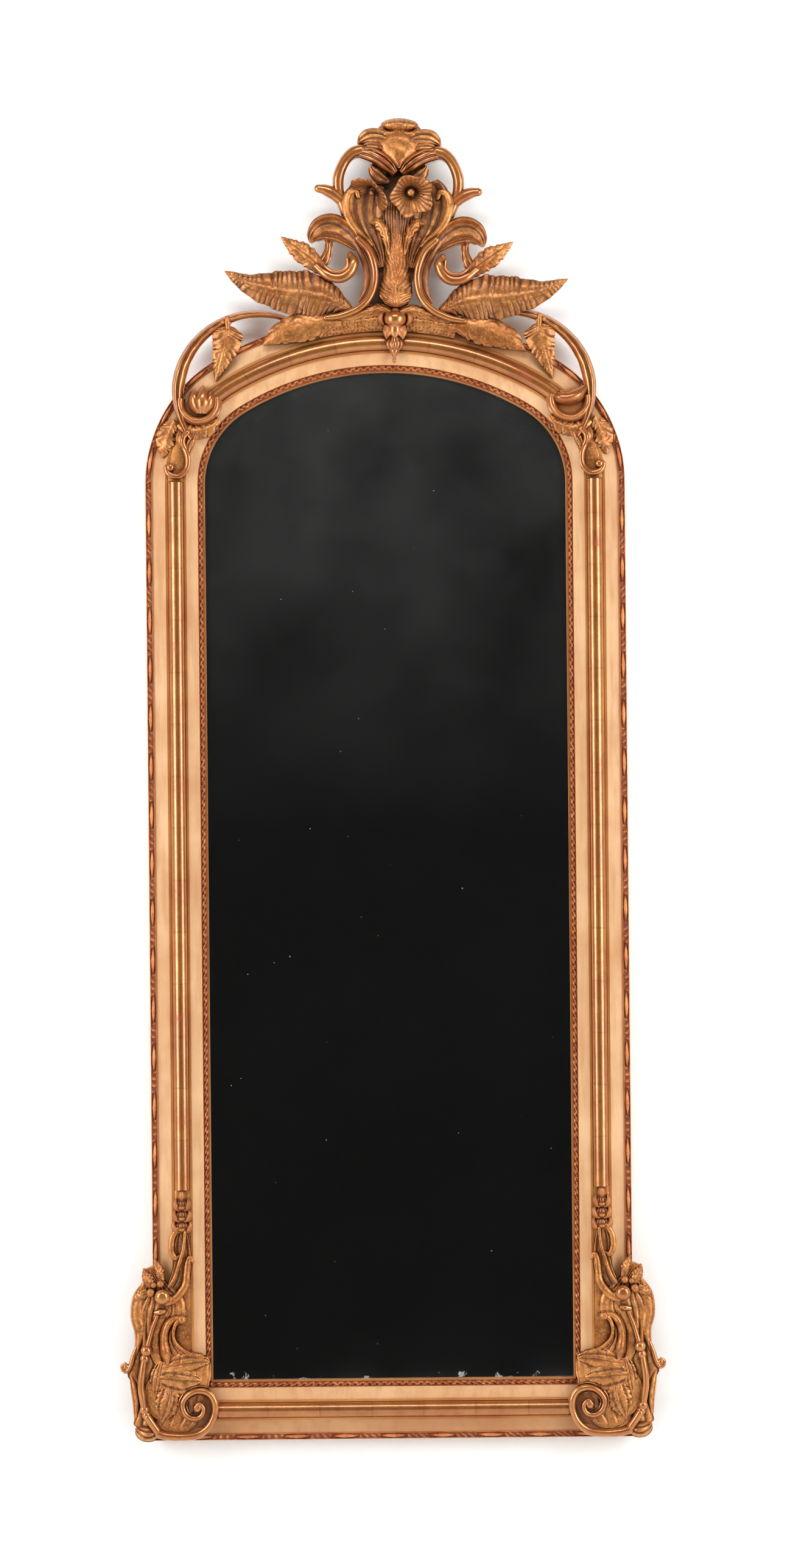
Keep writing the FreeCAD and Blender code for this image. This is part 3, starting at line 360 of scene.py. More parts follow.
gold = burnished.mixed(patch.clamp(0.62, 0.7) * 0.8, gold, tint(150, 66, 34))
dulled = burnished.mixed(patch.clamp(0.4, 0.65), tint(190, 122, 64), tint(140, 80, 38))
gold = burnished.mixed(dull, gold, dulled)
# Painted shade with some grime: the gold darkens where the carving closes in and goes near black deep in the
# recesses, and the cuts marked hollow are painted dark as shade and dirt.
gold = burnished.mixed(recess_shade_and_grime.clamp(0.02, 0.3) * 0.6, gold, tint(166, 92, 42))
gold = burnished.mixed(sunk.clamp(0.15, 0.9) * 0.7, gold, tint(104, 54, 22))
gold = burnished.mixed(recess_shade_and_grime.clamp(0.28, 0.75) * 0.92, gold, tint(62, 28, 10))
rear = burnished.back()
burnished.surface({
    "Base Color": burnished.mixed(rear, gold, tint(128, 88, 52)),
    "Metallic": (0.72 - patch.clamp(0.62, 0.7) * 0.4 - dull * 0.3) * (1 - rear),
    "Coat Weight": (1 - dull * 0.7) * (1 - rear),
    "Coat Roughness": 0.12,
    "Roughness": 0.26 + fine.clamp(0.3, 0.7) * 0.12 + patch.clamp(0.58, 0.7) * 0.2 + dull * 0.16,
    "Normal": burnished.bump(fine * 0.5 + lap * 2, 0.0007, 0.35),
})

round_section = [(ROUND_START + 0.1, ROUND_BED, 0, 1)]
round_section += [(ROUND_MIDDLE - ROUND_RADIUS * math.cos(math.radians(turn)),
                   ROUND_CENTRE + ROUND_RADIUS * math.sin(math.radians(turn)), 0, 1)
                  for turn in range(0, 181, 9)]
round_section += [(ROUND_END - 0.1, ROUND_BED, 0, 1)]


def stretch_of(node, axis):
    """Lowest and highest reach of a solid along an axis, in millimetres."""
    low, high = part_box(node)
    return low[axis] / MM, high[axis] / MM


def straight_line(start, end, inward, count=61):
    step = np.linspace(0, 1, count)[:, None]
    start, end = np.array(start), np.array(end)
    return start + (end - start) * step, np.broadcast_to(inward, (count, 2)).astype(float)


round_low, round_high = stretch_of("half_round_stiles", 2)
round_left, round_right = stretch_of("half_round_rail", 0)
uprights = []
for side in (-1, 1):
    edge = straight_line((side * HALF_WIDTH, round_low), (side * HALF_WIDTH, round_high), (-side, 0))
    uprights.append(moulded("round", edge, round_section))
made("half_round_stile_lengths", uprights, burnished, "burnished_gilt", "half_round_stiles")
low_round = moulded("round", straight_line((round_left, 0), (round_right, 0), (0, 1)), round_section)
made("half_round_rail_length", [low_round], burnished, "burnished_gilt", "half_round_rail")
right_bend = bend_line((SHOULDER_OUT, SPRING), OUTER_SHOULDER, ROUND_STOP, 90 - CROWN_HALF_TURN, 14)
left_bend = bend_line((-SHOULDER_OUT, SPRING), OUTER_SHOULDER, 90 + CROWN_HALF_TURN, 180 - ROUND_STOP, 14)
bends = [right_bend, crown_line(121), left_bend]
arch = [np.vstack([bends[0][part][:-1], bends[1][part], bends[2][part][1:]]) for part in (0, 1)]
top_round = moulded("round", arch, round_section)
made("half_round_arch_length", [top_round], burnished, "burnished_gilt", "half_round_arch")

# Edge bead: a narrow carved strip along the outer edge, long pointed ovals with a short twist
# of ribbon between them. Gilded thinly, so that the red bole shows through the rubbed gold.
BEAD_PERIOD = 80
OVAL_SHARE = 0.58

bole = Finish("rubbed_gilt_on_red_bole")
patch = bole.noise(40, 5, 0.6)
fine = bole.noise(300, 4, 0.6)
recess_shade_and_grime = bole.recess(0.006)
sunk = bole.mark("hollow")
gold = bole.mixed(patch.clamp(0.4, 0.62), tint(214, 138, 84), tint(178, 98, 56))
gold = bole.mixed(fine.clamp(0.5, 0.75) * 0.6, gold, tint(240, 176, 116))
# Painted shade: the sunk channel is painted dark red-brown, as shade with the bole showing there, and near
# black where the strip closes in, as shade with some grime.
gold = bole.mixed(sunk.clamp(0.2, 0.9) * 0.85, gold, tint(116, 56, 32))
gold = bole.mixed(recess_shade_and_grime.clamp(0.4, 1.0) * 0.7, gold, tint(64, 30, 17))
bole.surface({
    "Base Color": gold,
    "Metallic": 0.55 - sunk.clamp(0.2, 0.9) * 0.35,
    "Roughness": 0.34 + fine * 0.2,
    "Normal": bole.bump(fine, 0.0005, 0.3),
})


def ornamented(name, line, span, bed, relief, step=1.6):
    """A carved strip run along a line: span is its insets, and relief gives the height above
    the bed and how sunk each point lies, from the distance along and the share across."""
    edge, inward = line
    middle = edge + inward * (span[0] + span[1]) / 2
    run = np.concatenate([[0], np.cumsum(np.linalg.norm(np.diff(middle, axis=0), axis=1))])
    count = int(run[-1] / step)
    distance = np.linspace(0, run[-1], count)
    edge = np.stack([np.interp(distance, run, edge[:, axis]) for axis in (0, 1)], 1)
    inward = np.stack([np.interp(distance, run, inward[:, axis]) for axis in (0, 1)], 1)
    share = np.linspace(0, 1, 11)
    height, sunk = relief((distance - run[-1] / 2)[:, None], share[None, :])
    inset = span[0] + (span[1] - span[0]) * np.concatenate([[0], share, [1, 0]])
    depth = np.full((count, len(inset)), float(bed))
    depth[:, 1:-2] += height
    hollow = np.ones_like(depth)
    hollow[:, 1:-2] = sunk
    across = edge[:, :1] + inward[:, :1] * inset
    up = edge[:, 1:] + inward[:, 1:] * inset
    return closed(laid(name, across, up, depth, hollow=hollow), smooth=60)


def bead_relief(distance, share):
    """Pointed ovals in a sunk channel, with twists of ribbon between."""
    phase = np.mod(distance / BEAD_PERIOD + OVAL_SHARE / 2, 1)
    along = (phase - OVAL_SHARE / 2) / (OVAL_SHARE / 2)
    off = (share - 0.5) * 2
    waist = np.clip(1 - np.abs(along) ** 1.7, 0, 1) * 0.62
    oval = np.sqrt(np.clip(1 - (off / np.maximum(waist, 0.02)) ** 2, 0, 1)) * np.sqrt(waist / 0.62)
    twist = (phase - OVAL_SHARE) / (1 - OVAL_SHARE)
    ribbon = np.clip(np.cos(6 * np.pi * twist + 2.4 * off), 0, 1) * np.clip(1 - off ** 2 * 1.9, 0, 1)
    ribbon = np.where(phase > OVAL_SHARE, ribbon, 0)
    rim = np.exp(-((np.abs(off) - 0.88) / 0.14) ** 2)
    high = np.maximum(np.maximum(oval * 6.2, ribbon * 5), rim * 3.6)
    return 2.4 + high, 1 - np.clip(high / 3.2, 0, 1)


def sight_relief(distance, share):
    """A running stem of tiny leaves and berries, two staggered rows."""
    phase = np.mod(distance / 12, 1)
    berries = np.zeros(np.broadcast(distance, share).shape)
    for along, off, wide in ((0.2, 0.3, 0.16), (0.7, 0.7, 0.16), (0.45, 0.42, 0.12), (0.95, 0.58, 0.12)):
        gap = np.abs(phase - along)
        gap = np.minimum(gap, 1 - gap)
        berries = np.maximum(berries, np.exp(-(gap / wide) ** 2 - ((share - off) / 0.2) ** 2))
    edges = np.exp(-((np.abs(share - 0.5) - 0.47) / 0.08) ** 2) * 0.6
    high = np.maximum(berries, edges)
    return 2.0 + high * 5.2, 1 - np.clip(high * 1.4, 0, 1)


def strip_pieces(kind, span, bed, relief):
    """The three nodes of one carved strip: stile lengths, rail length and arch length."""
    stiles = [ornamented("strip", stile_line(side, 40), span, bed, relief) for side in (-1, 1)]
    made(f"{kind}_stile_lengths", stiles, bole, "bole_gilt", f"{kind}_stiles")
    rail = ornamented("strip", rail_line(40), span, bed, relief)
    made(f"{kind}_rail_length", [rail], bole, "bole_gilt", f"{kind}_rail")
    arch = [ornamented("strip", line, span, bed, relief)
            for line in (crown_line(140), shoulder_line(-1, 90), shoulder_line(1, 90))]
    made(f"{kind}_arch_length", arch, bole, "bole_gilt", f"{kind}_arch")


strip_pieces("edge_bead", (0.2, BEAD_EDGE - 0.1), BEAD_BED, bead_relief)

# Sight strip: the innermost carved strip next to the glass, a fine running leaf and berry.
# Same thin gilding on bole as the edge bead, pressed in gesso and planted on the sight bed.
strip_pieces("sight_strip", (SLOPE_EDGE + 0.1, STRIP_EDGE - 0.1), SIGHT_BED, sight_relief)

# Mirror plate: one sheet of old silvered glass held in the rebate. It looks dark, with a faint
# haze, pin specks in the silver and grey patches where it has lifted at the foot.
PLATE_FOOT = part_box("mirror_plate")[0][2]

silvered = Finish("old_silvered_glass")
cloud = silvered.noise(3.2, 6, 0.6)
speck = silvered.node("ShaderNodeTexVoronoi", sockets={"Vector": silvered.place, "Scale": 42.0})
pepper = silvered.noise(140, 3)
specks = (1 - speck.clamp(0.03, 0.06)) * pepper.clamp(0.56, 0.66)
near_foot = 1 - (silvered.height() - PLATE_FOOT).clamp(0.004, 0.05)
lifting = (silvered.noise(34, 6, 0.68) + near_foot * 0.3).clamp(0.86, 0.93)
haze = silvered.height().clamp(1.0, 1.78) * cloud.clamp(0.25, 0.7) * 0.05
worn = (specks * 0.6 + lifting * 0.75 + haze).clamp(0.0, 1.0)
glass_tone = silvered.mixed(cloud.clamp(0.35, 0.75), (0.62, 0.63, 0.62, 1), (0.7, 0.71, 0.7, 1))
silvered.surface({
    "Base Color": silvered.mixed(worn, glass_tone, tint(146, 138, 122)),
    "Metallic": 1 - worn,
    "Roughness": 0.03 + cloud.clamp(0.4, 0.8) * 0.05 + worn * 0.4,
})


def kept(node, finish):
    """A solid that is already the right shape keeps its mesh and takes a finish."""
    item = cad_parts[node]
    item.data.materials.clear()
    item.data.materials.append(finish.material)


kept("mirror_plate", silvered)

# Back of the mirror: three thin boards, the softwood blocks that hold the glass and the
# batten let into the crest. Bare pine, darkened with age, with its grain running upright.
pine = Finish("bare_old_pine")
grain = pine.noise(26, 6, 0.6, pine.stretched(6, 6, 0.35))
broad = pine.noise(4, 4)
knot = pine.node("ShaderNodeTexWave", {"wave_type": "BANDS", "bands_direction": "X"},
                 {"Vector": pine.stretched(1, 1, 0.12), "Scale": 22.0, "Distortion": 7.0, "Detail": 3.0})
wood = pine.mixed(grain.clamp(0.35, 0.68), tint(190, 146, 96), tint(142, 98, 58))
wood = pine.mixed(knot * 0.35, wood, tint(116, 76, 42))
wood = pine.mixed(broad.clamp(0.45, 0.75) * 0.5, wood, tint(104, 72, 44))
pine.surface({
    "Base Color": wood,
    "Roughness": 0.72 + grain * 0.2,
    "Normal": pine.bump(grain + knot * 0.4, 0.0012, 0.4),
})
for node in ("back_board_lower", "back_board_middle", "back_board_upper", "glass_blocks", "crest_batten"):
    kept(node, pine)

# Wood screws: slotted steel heads sunk in the boards, the batten and the hanger plates.
# Turned steel gone grey, with brown rust in patches.
steel = Finish("dull_screw_steel")
rust = steel.noise(90, 6, 0.65)
turning = steel.noise(500, 3)
steel.surface({
    "Base Color": steel.mixed(rust.clamp(0.48, 0.66), tint(136, 132, 126), tint(96, 58, 36)),
    "Metallic": 1 - rust.clamp(0.48, 0.66) * 0.8,
    "Roughness": 0.36 + rust * 0.3,
    "Normal": steel.bump(turning, 0.0004, 0.3),
})
for node in ("back_board_screws", "batten_screws", "hanger_screws"):
    kept(node, steel)

# Hanger plates: forged straps let into the stiles with a rolled knuckle at the top.
# Black iron, hammer marked, with a little rust at the edges.
iron = Finish("forged_iron")
hammer = iron.noise(110, 3, 0.5)
rust = iron.noise(60, 6, 0.65)
iron.surface({
    "Base Color": iron.mixed(rust.clamp(0.5, 0.7) * 0.8, tint(62, 58, 54), tint(98, 56, 34)),
    "Metallic": 0.85 - rust.clamp(0.5, 0.7) * 0.6,
    "Roughness": 0.42 + hammer * 0.25,
    "Normal": iron.bump(hammer, 0.001, 0.5),
})
for node in ("hanger_plate_left", "hanger_plate_right"):
    kept(node, iron)

# Hanger rings: each a D of round iron wire whose straight side turns in the knuckle, so the
# ring swings out from the back of the stile to take the wall hook.
RING_WIRE = 2.0


def flow(rows, count):
    """A smooth run of stations through the given rows of numbers."""
    rows = np.array(rows, float)
    padded = np.vstack([2 * rows[0] - rows[1], rows, 2 * rows[-1] - rows[-2]])
    place = np.linspace(0, len(rows) - 1, count)
    first = np.minimum(place.astype(int), len(rows) - 2)
    part = (place - first)[:, None]
    before, start, end, after = (padded[first + shift] for shift in range(4))
    return 0.5 * (2 * start + (end - before) * part
                  + (2 * before - 5 * start + 4 * end - after) * part ** 2
                  + (3 * start - before - 3 * end + after) * part ** 3)


def headings(line):
    """Unit direction along a flat line at each of its stations."""
    step = np.gradient(line, axis=0)
    return step / np.linalg.norm(step, axis=1)[:, None]


def stem(spot, rows, along=60, sides=16, flat=1.0):
    """A round carved stem through (across, up, depth, radius) rows, with rounded ends."""
    line = flow(rows, along)
    heading = headings(line[:, :2])
    radius = line[:, 3]
    caps = np.radians([90, 68, 45, 22])
    start = [np.append(line[0, :2] - heading[0] * radius[0] * math.sin(c),
                       [line[0, 2], radius[0] * math.cos(c)]) for c in caps]
    end = [np.append(line[-1, :2] + heading[-1] * radius[-1] * math.sin(c),
                     [line[-1, 2], radius[-1] * math.cos(c)]) for c in caps[::-1]]
    line = np.vstack([start, line, end])
    heading = np.vstack([heading[:1]] * 4 + [heading] + [heading[-1:]] * 4)
    turn = np.linspace(0, 2 * np.pi, sides + 1)[None, :]
    unevenness = 1 + 0.025 * np.sin(line[:, :1] / 5 + line[:, 1:2] / 7)
    radius = line[:, 3:] * unevenness
    off = radius * np.cos(turn)
    a = line[:, :1] - heading[:, 1:] * off
    b = line[:, 1:2] + heading[:, :1] * off
    depth = line[:, 2:3] + radius * np.sin(turn) * flat
    across, up = spot(a, b)
    return closed(laid("stem", across, up, depth), smooth=60)


for name in ("left", "right"):
    low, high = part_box(f"hanger_ring_{name}")
    ring_x = (low[0] + high[0]) / 2 / MM
    ring_wide = (high[0] - low[0]) / 2 / MM - RING_WIRE
    ring_top, ring_foot = high[2] / MM - RING_WIRE, low[2] / MM + RING_WIRE
    ring_depth = -(low[1] + high[1]) / 2 / MM
    drop = ring_foot + ring_wide
    wire = [(0, ring_top)] + [(ring_wide - 4 + 4 * math.sin(t), ring_top - 4 + 4 * math.cos(t))
                              for t in np.radians([0, 30, 60, 90])]
    wire += [(ring_wide * math.cos(t), drop - ring_wide * math.sin(t))
             for t in np.radians(range(0, 181, 20))]
    wire += [(-a, b) for a, b in wire[4:0:-1]] + [(-1.5, ring_top)]
    rows = [(ring_x + a, b, ring_depth, RING_WIRE - 0.02) for a, b in wire]
    ring = stem(lambda a, b: (a, b), rows, along=160)
    made(f"hanger_ring_{name}_wire", [ring], iron, "forged_iron", f"hanger_ring_{name}",
         body=f"ring_{name}")

# Crest board: the sawn backing that carries the crest, glued and battened to the head.
# Softwood under a thin dull gilding, painted dark brown where it shows between the leaves: painted shade.
matte = Finish("matte_gilt_carving")
broad = matte.noise(13, 5, 0.62)
mottle = matte.noise(62, 6, 0.66)
tool = matte.noise(300, 4, 0.62)
sunk = matte.mark("hollow")
recess_shade_and_grime = matte.recess(0.036)
gold = matte.mixed(broad.clamp(0.36, 0.64), tint(218, 148, 82), tint(178, 104, 48))
gold = matte.mixed(mottle.clamp(0.45, 0.65) * 0.7, gold, tint(122, 65, 30))
# Painted shade with some grime: the gold darkens where the carving closes in and goes near black deep in the
# recesses; the cuts marked hollow are painted dark as shade and dirt.
gold = matte.mixed(recess_shade_and_grime.clamp(0.08, 0.4) * 0.45, gold, tint(138, 75, 34))
gold = matte.mixed(tool.clamp(0.5, 0.72) * 0.45, gold, tint(250, 202, 134))
gold = matte.mixed(sunk.clamp(0.05, 0.8) * 0.85, gold, tint(80, 38, 14))
gold = matte.mixed(recess_shade_and_grime.clamp(0.38, 0.8) * 0.92, gold, tint(48, 21, 8))
rear = matte.back()
matte.surface({
    "Base Color": matte.mixed(rear, gold, tint(128, 88, 52)),
    "Metallic": (0.72 - sunk.clamp(0.1, 0.9) * 0.3) * (1 - rear),
    "Coat Weight": (1 - rear) * 0.18,
    "Coat Roughness": 0.2,
    "Roughness": 0.3 + mottle * 0.22,
    "Normal": matte.bump(mottle + tool * 0.35, 0.0016, 0.55),
})
board_shade_finish = Finish("crest_board_painted_shade")
wash = board_shade_finish.noise(30, 5, 0.6)
board_shade_finish.surface({
    "Base Color": board_shade_finish.mixed(wash.clamp(0.35, 0.7), tint(96, 58, 28), tint(62, 34, 16)),
    "Metallic": wash * 0.3,
    "Roughness": 0.55 + wash * 0.2,
    "Normal": board_shade_finish.bump(wash, 0.001, 0.4),
})
kept("crest_board", board_shade_finish)

# Mound: the low domed ground at the foot of the crest, lying over the arch. Its gilded face
# is punched all over with small round pits.
CREST_MIDDLE = (18, 1800)
CREST_LEAN = math.radians(1.85)
PIT_SPACING = 6.2


def on_crest(side=1):
    """Places on the leaning axis of the crest, mirrored about it for the left side."""
    def spot(a, b):
        across = CREST_MIDDLE[0] + side * a * math.cos(CREST_LEAN) + b * math.sin(CREST_LEAN)
        up = CREST_MIDDLE[1] + b * math.cos(CREST_LEAN) - side * a * math.sin(CREST_LEAN)
        return across, up
    return spot


def leaf(spot, rows, back=None, thick=6.0, along=64, across=17, dome=2.0, upright=False, rib=0.0,
         pillow=0.0, rim=(0, 0), veins=0, slant=1.0, groove=1.0, lobes=0.0, ragged=0.0, flutes=0,
         flute=0.0, shade_shift=0.0, **marks):
    """A carved leaf through (across, up, left, right, edge depth, crown) rows. Veins are grooves
    that sweep from the midrib towards the tip, lobes bite the edge at their ends, flutes part
    the leaf lengthwise, a rim is rolled up along its left or right edge and a pillow swells
    each half. Its cuts are marked hollow, which the finishes paint dark as shade and dirt; the
    shade shift adds painted shade over the whole face or, below nought, clears it. Its back is
    flat at a depth, or lies one thickness behind its edges."""
    a, b, left, right, edge, crown = (column[:, None] for column in flow(rows, along).T)
    heading = np.tile([0.0, 1.0], (along, 1)) if upright else headings(np.hstack([a, b]))
    step = np.linspace(0, 1, along)[:, None]
    share = np.linspace(-1, 1, across)[None, :]
    reach = np.abs(share)
    half = np.sign(share)
    drift = 0.26 * np.sin(23 * step + half) + 0.18 * np.sin(41 * step + 2 * half)
    wave = np.cos(2 * np.pi * (veins * step + drift - slant * reach ** 0.7))
    cut = (0.5 + 0.5 * wave) ** 4 * (veins > 0)
    cut = cut * (0.7 + 0.3 * np.sin(29 * step + 3 * half))
    torn = ragged * (np.sin(33 * step + 2 * half) + np.sin(57 * step - half))
    bite = 1 - lobes * cut * reach ** 3 + torn * reach ** 3
    off = np.where(share < 0, right, left) * share * bite
    wander = share + 1 + 0.05 * np.sin(4 * step + 7 * share) * (1 - reach)
    furrow = (0.5 + 0.5 * np.cos(np.pi * flutes * wander)) ** 3 * (reach < 0.97) * (flutes > 0)
    fade = np.clip(np.minimum(step, 1 - step) * 8, 0, 1)
    raised = rib * np.exp(-(share / 0.1) ** 2) + pillow * np.sin(np.pi * reach ** 0.8)
    raised = raised + rim[0] * np.exp(-((share - 0.8) / 0.16) ** 2)
    raised = raised + rim[1] * np.exp(-((share + 0.8) / 0.16) ** 2)
    relief = raised - groove * cut * reach ** 0.5 - flute * furrow
    depth = edge + crown * (1 - reach ** dome) + fade * relief
    x = a - heading[:, 1:] * off
    y = b + heading[:, :1] * off
    depth = depth + 0.45 * np.sin(x / 4.1 + y / 7.3) * np.sin(y / 5.2 - x / 9.1) * fade
    sunk = cut ** 0.5 * reach ** 0.5 * min(1, groove) + furrow ** 0.6 * min(1, flute)
    sunk = np.clip(fade * sunk + shade_shift, 0, 1)
    behind = edge - thick if back is None else np.full_like(edge, float(back))
    behind = np.minimum(behind, edge - 0.6)
    x = np.hstack([x[:, :1], x, x[:, -1:], x[:, :1]])
    y = np.hstack([y[:, :1], y, y[:, -1:], y[:, :1]])
    depth = np.hstack([behind, depth, behind, behind])
    sunk = np.hstack([0 * behind, sunk, 0 * behind, 0 * behind])
    world_x, world_z = spot(x, y)
    return closed(laid("leaf", world_x, world_z, depth, hollow=sunk, **marks), smooth=50)


def paired(place, carve):
    """What is carved at the places of the left side and then of the right."""
    return [part for side in (-1, 1) for part in carve(place(side))]


mound_ends = [math.asin(x / (OUTER_CROWN - 14)) for x in stretch_of("crest_mound", 0)]
turn = np.linspace(mound_ends[0], mound_ends[1], 150)[:, None]
share = np.linspace(0, 1, 34)[None, :]
radius = OUTER_CROWN - COVE_EDGE + 0.5 + share * (COVE_EDGE + 5)
dome = np.sin(np.pi * np.clip(share * 0.92 + 0.04, 0, 1)) ** 0.55
shaker = np.random.RandomState(5)
pits = np.zeros((150, 34))
for run in np.arange(mound_ends[0] * OUTER_CROWN, mound_ends[1] * OUTER_CROWN, PIT_SPACING):
    for out in np.arange(3, COVE_EDGE + 4, PIT_SPACING):
        at_run, at_out = np.array([run, out]) + shaker.uniform(-1.6, 1.6, 2)
        gap = ((turn * OUTER_CROWN - at_run) ** 2 + (share * (COVE_EDGE + 5) - at_out) ** 2) / 1.5 ** 2
        pits = np.maximum(pits, np.exp(-gap))
depth = FILLET + 13 * dome - pits * 1.6
edge_depth = np.full((150, 1), float(FILLET))
across = np.hstack([radius[:, :1] * np.sin(turn), radius * np.sin(turn), radius[:, -1:] * np.sin(turn),
                    radius[:, :1] * np.sin(turn)])
up = CROWN_CENTRE[1] + np.hstack([radius[:, :1] * np.cos(turn), radius * np.cos(turn),
                                  radius[:, -1:] * np.cos(turn), radius[:, :1] * np.cos(turn)])
depth = np.hstack([edge_depth, depth, edge_depth, edge_depth])
hollow = np.hstack([edge_depth * 0, pits, edge_depth * 0, edge_depth * 0])
mound = closed(laid("mound", across, up, depth, hollow=hollow), smooth=60)
ground = [mound]
ground += paired(on_crest, lambda spot: [
    leaf(spot, [
        (6, 50, 9, 9, 51, 4), (28, 55, 11, 11, 52, 5), (52, 50, 9, 10, 52, 5), (80, 42, 6, 7, 51, 4),
        (106, 37, 2, 2, 50, 2)
    ], back=39, veins=5, slant=2, groove=1.2, lobes=0.12, across=21)])
made("crest_mound_ground", ground, matte, "matte_gilt", "crest_mound")

# C-scrolls: two burnished rods that stand like brackets each side of the tongue leaf, each
# with a flat leaf strip along its outer side. Glued to the crest board and burnished.
c_rods = paired(on_crest, lambda spot: [
    stem(spot, [
        (64, 170, 66, 5.5), (46, 152, 63, 6), (36, 125, 60, 6), (35, 100, 58, 6), (43, 75, 58, 6),
        (62, 56, 58, 6), (90, 44, 58, 5.5), (114, 40, 58, 4)
    ], along=90),
    leaf(spot, [
        (70, 172, 5, 4, 54, 2), (56, 152, 10, 5, 52, 3), (45, 128, 11, 5, 50, 3), (42, 104, 11, 4, 49, 3),
        (48, 84, 8, 3, 48, 2), (60, 68, 3, 2, 46, 1)
    ], back=38, flutes=2, flute=1.0, dull=1.0)])
made("crest_c_scroll_rods", c_rods, burnished, "burnished_gilt", "crest_c_scrolls")

# Tongue: a long leaf that falls between the C-scrolls and rolls forward at its tip, with
# fine hair-like cuts feathering down and out from its middle.
tongue = [
    leaf(on_crest(), [
        (0, 205, 9, 9, 50, 4), (0, 178, 13, 13, 50, 6), (0, 148, 18, 18, 50, 8), (0, 118, 22, 22, 51, 9),
        (0, 94, 27, 27, 53, 10), (0, 80, 27, 27, 56, 11), (0, 68, 20, 20, 58, 10), (0, 60, 8, 8, 57, 6)
    ], back=39, rib=1.8, veins=13, slant=-3.8, groove=1.5, lobes=0.04, along=190, across=37, pillow=0.8)]
made("crest_tongue_leaf", tongue, matte, "matte_gilt", "crest_tongue")

# Fan: the broad heart of leaves behind the tongue, two hollow faces each with a rolled rim,
# a sheaf of fine stems down the middle and small curled leaf tips beside it. Matte gilded.
fan = [
    leaf(on_crest(), [
        (0, 122, 17, 17, 48, 3), (0, 150, 20, 20, 50, 4), (0, 180, 23, 23, 52, 4), (0, 210, 27, 27, 54, 4),
        (0, 232, 28, 28, 54, 3)
    ], back=39, flutes=11, flute=1.3, along=80, across=67, shade_shift=0.2)]
fan += paired(on_crest, lambda spot: [
    leaf(spot, [
        (24, 126, 6, 5, 49, 1), (30, 150, 10, 9, 51, 0), (40, 172, 18, 15, 54, -3),
        (49, 194, 26, 24, 57, -7), (54, 218, 31, 31, 59, -10), (52, 242, 32, 32, 59, -10),
        (44, 264, 22, 22, 56, -6)
    ], back=39, flutes=4, flute=1.3, along=90, across=49, rim=(0, 3), shade_shift=0.2),
    stem(spot, [
        (42, 162, 53, 3.5), (52, 172, 56, 4.5), (65, 183, 58, 5.5), (77, 198, 59, 6.5), (84, 216, 59, 7),
        (85, 234, 57, 7), (79, 248, 55, 6), (69, 250, 54, 5), (65, 241, 52, 4)
    ], along=90, flat=0.8),
    leaf(spot, [
        (13, 146, 3, 3, 53, 3), (17, 168, 6, 6, 56, 5), (23, 187, 9, 10, 58, 6), (33, 199, 7, 10, 60, 5),
        (44, 197, 1, 2, 59, 2)
    ], back=44, rib=1, veins=3, slant=1.2, groove=1.6, lobes=0.25, along=60, across=21)])
made("crest_fan_leaves", fan, matte, "matte_gilt", "crest_fan")

# Hood: the canopy leaf that closes the top of the crest, a smooth bulging face narrowing to a
# point below, with fluted lobes turned over each side.
hood = [
    leaf(on_crest(), [
        (1, 286, 3, 3, 64, 5), (0, 297, 12, 12, 65, 8), (0, 309, 25, 25, 65, 10), (0, 322, 38, 38, 64, 11),
        (0, 334, 36, 36, 63, 12), (0, 344, 24, 24, 60, 11), (0, 352, 16, 16, 56, 9)
    ], back=40, along=70, across=33, dome=2.4)]
hood += paired(on_crest, lambda spot: [
    leaf(spot, [
        (14, 330, 7, 8, 66, 4), (30, 337, 12, 13, 66, 6), (48, 338, 13, 14, 63, 7), (60, 333, 10, 10, 58, 6),
        (68, 327, 2, 2, 54, 2)
    ], back=40, flutes=3, flute=1.4, along=70, across=37, rim=(2.5, 0)),
    leaf(spot, [
        (20, 317, 3, 4, 67, 3), (36, 323, 6, 7, 67, 4), (51, 324, 6, 7, 63, 4), (63, 319, 2, 2, 58, 2)
    ], back=44, flutes=2, flute=1.4, along=50, across=25),
    leaf(spot, [
        (46, 292, 4, 4, 54, 2), (39, 281, 10, 11, 55, 3), (28, 272, 11, 10, 54, 3), (15, 266, 3, 3, 52, 2)
    ], back=40, flutes=2, flute=1.6, along=40, across=21)])
made("crest_hood_canopy", hood, matte, "matte_gilt", "crest_hood")

# Finial: the cap on top of the hood, a small mushroom leaf with its ends rolled under.
# Carved in wood, seated on the top of the hood and matte gilded.
finial = [
    leaf(on_crest(), [
        (-30, 352, 4, 4, 56, 4), (-21, 357, 9, 12, 58, 11), (0, 358, 12, 15, 58, 17),
        (21, 357, 9, 12, 58, 11), (30, 352, 4, 4, 56, 4)
    ], back=40, veins=8, slant=0, groove=1.0, along=70, across=27),
    leaf(on_crest(), [
        (0, 330, 15, 15, 66, 8), (0, 340, 19, 19, 65, 8), (0, 350, 15, 15, 62, 6)
    ], back=40, flutes=7, flute=1.4, along=24, across=35)]
finial += paired(on_crest, lambda spot: [
    stem(spot, [(5, 345, 66, 3), (16, 342, 67, 4.5), (25, 344, 65, 5.5), (30, 351, 60, 5)], along=30)])
made("crest_finial_cap", finial, matte, "matte_gilt", "crest_finial")

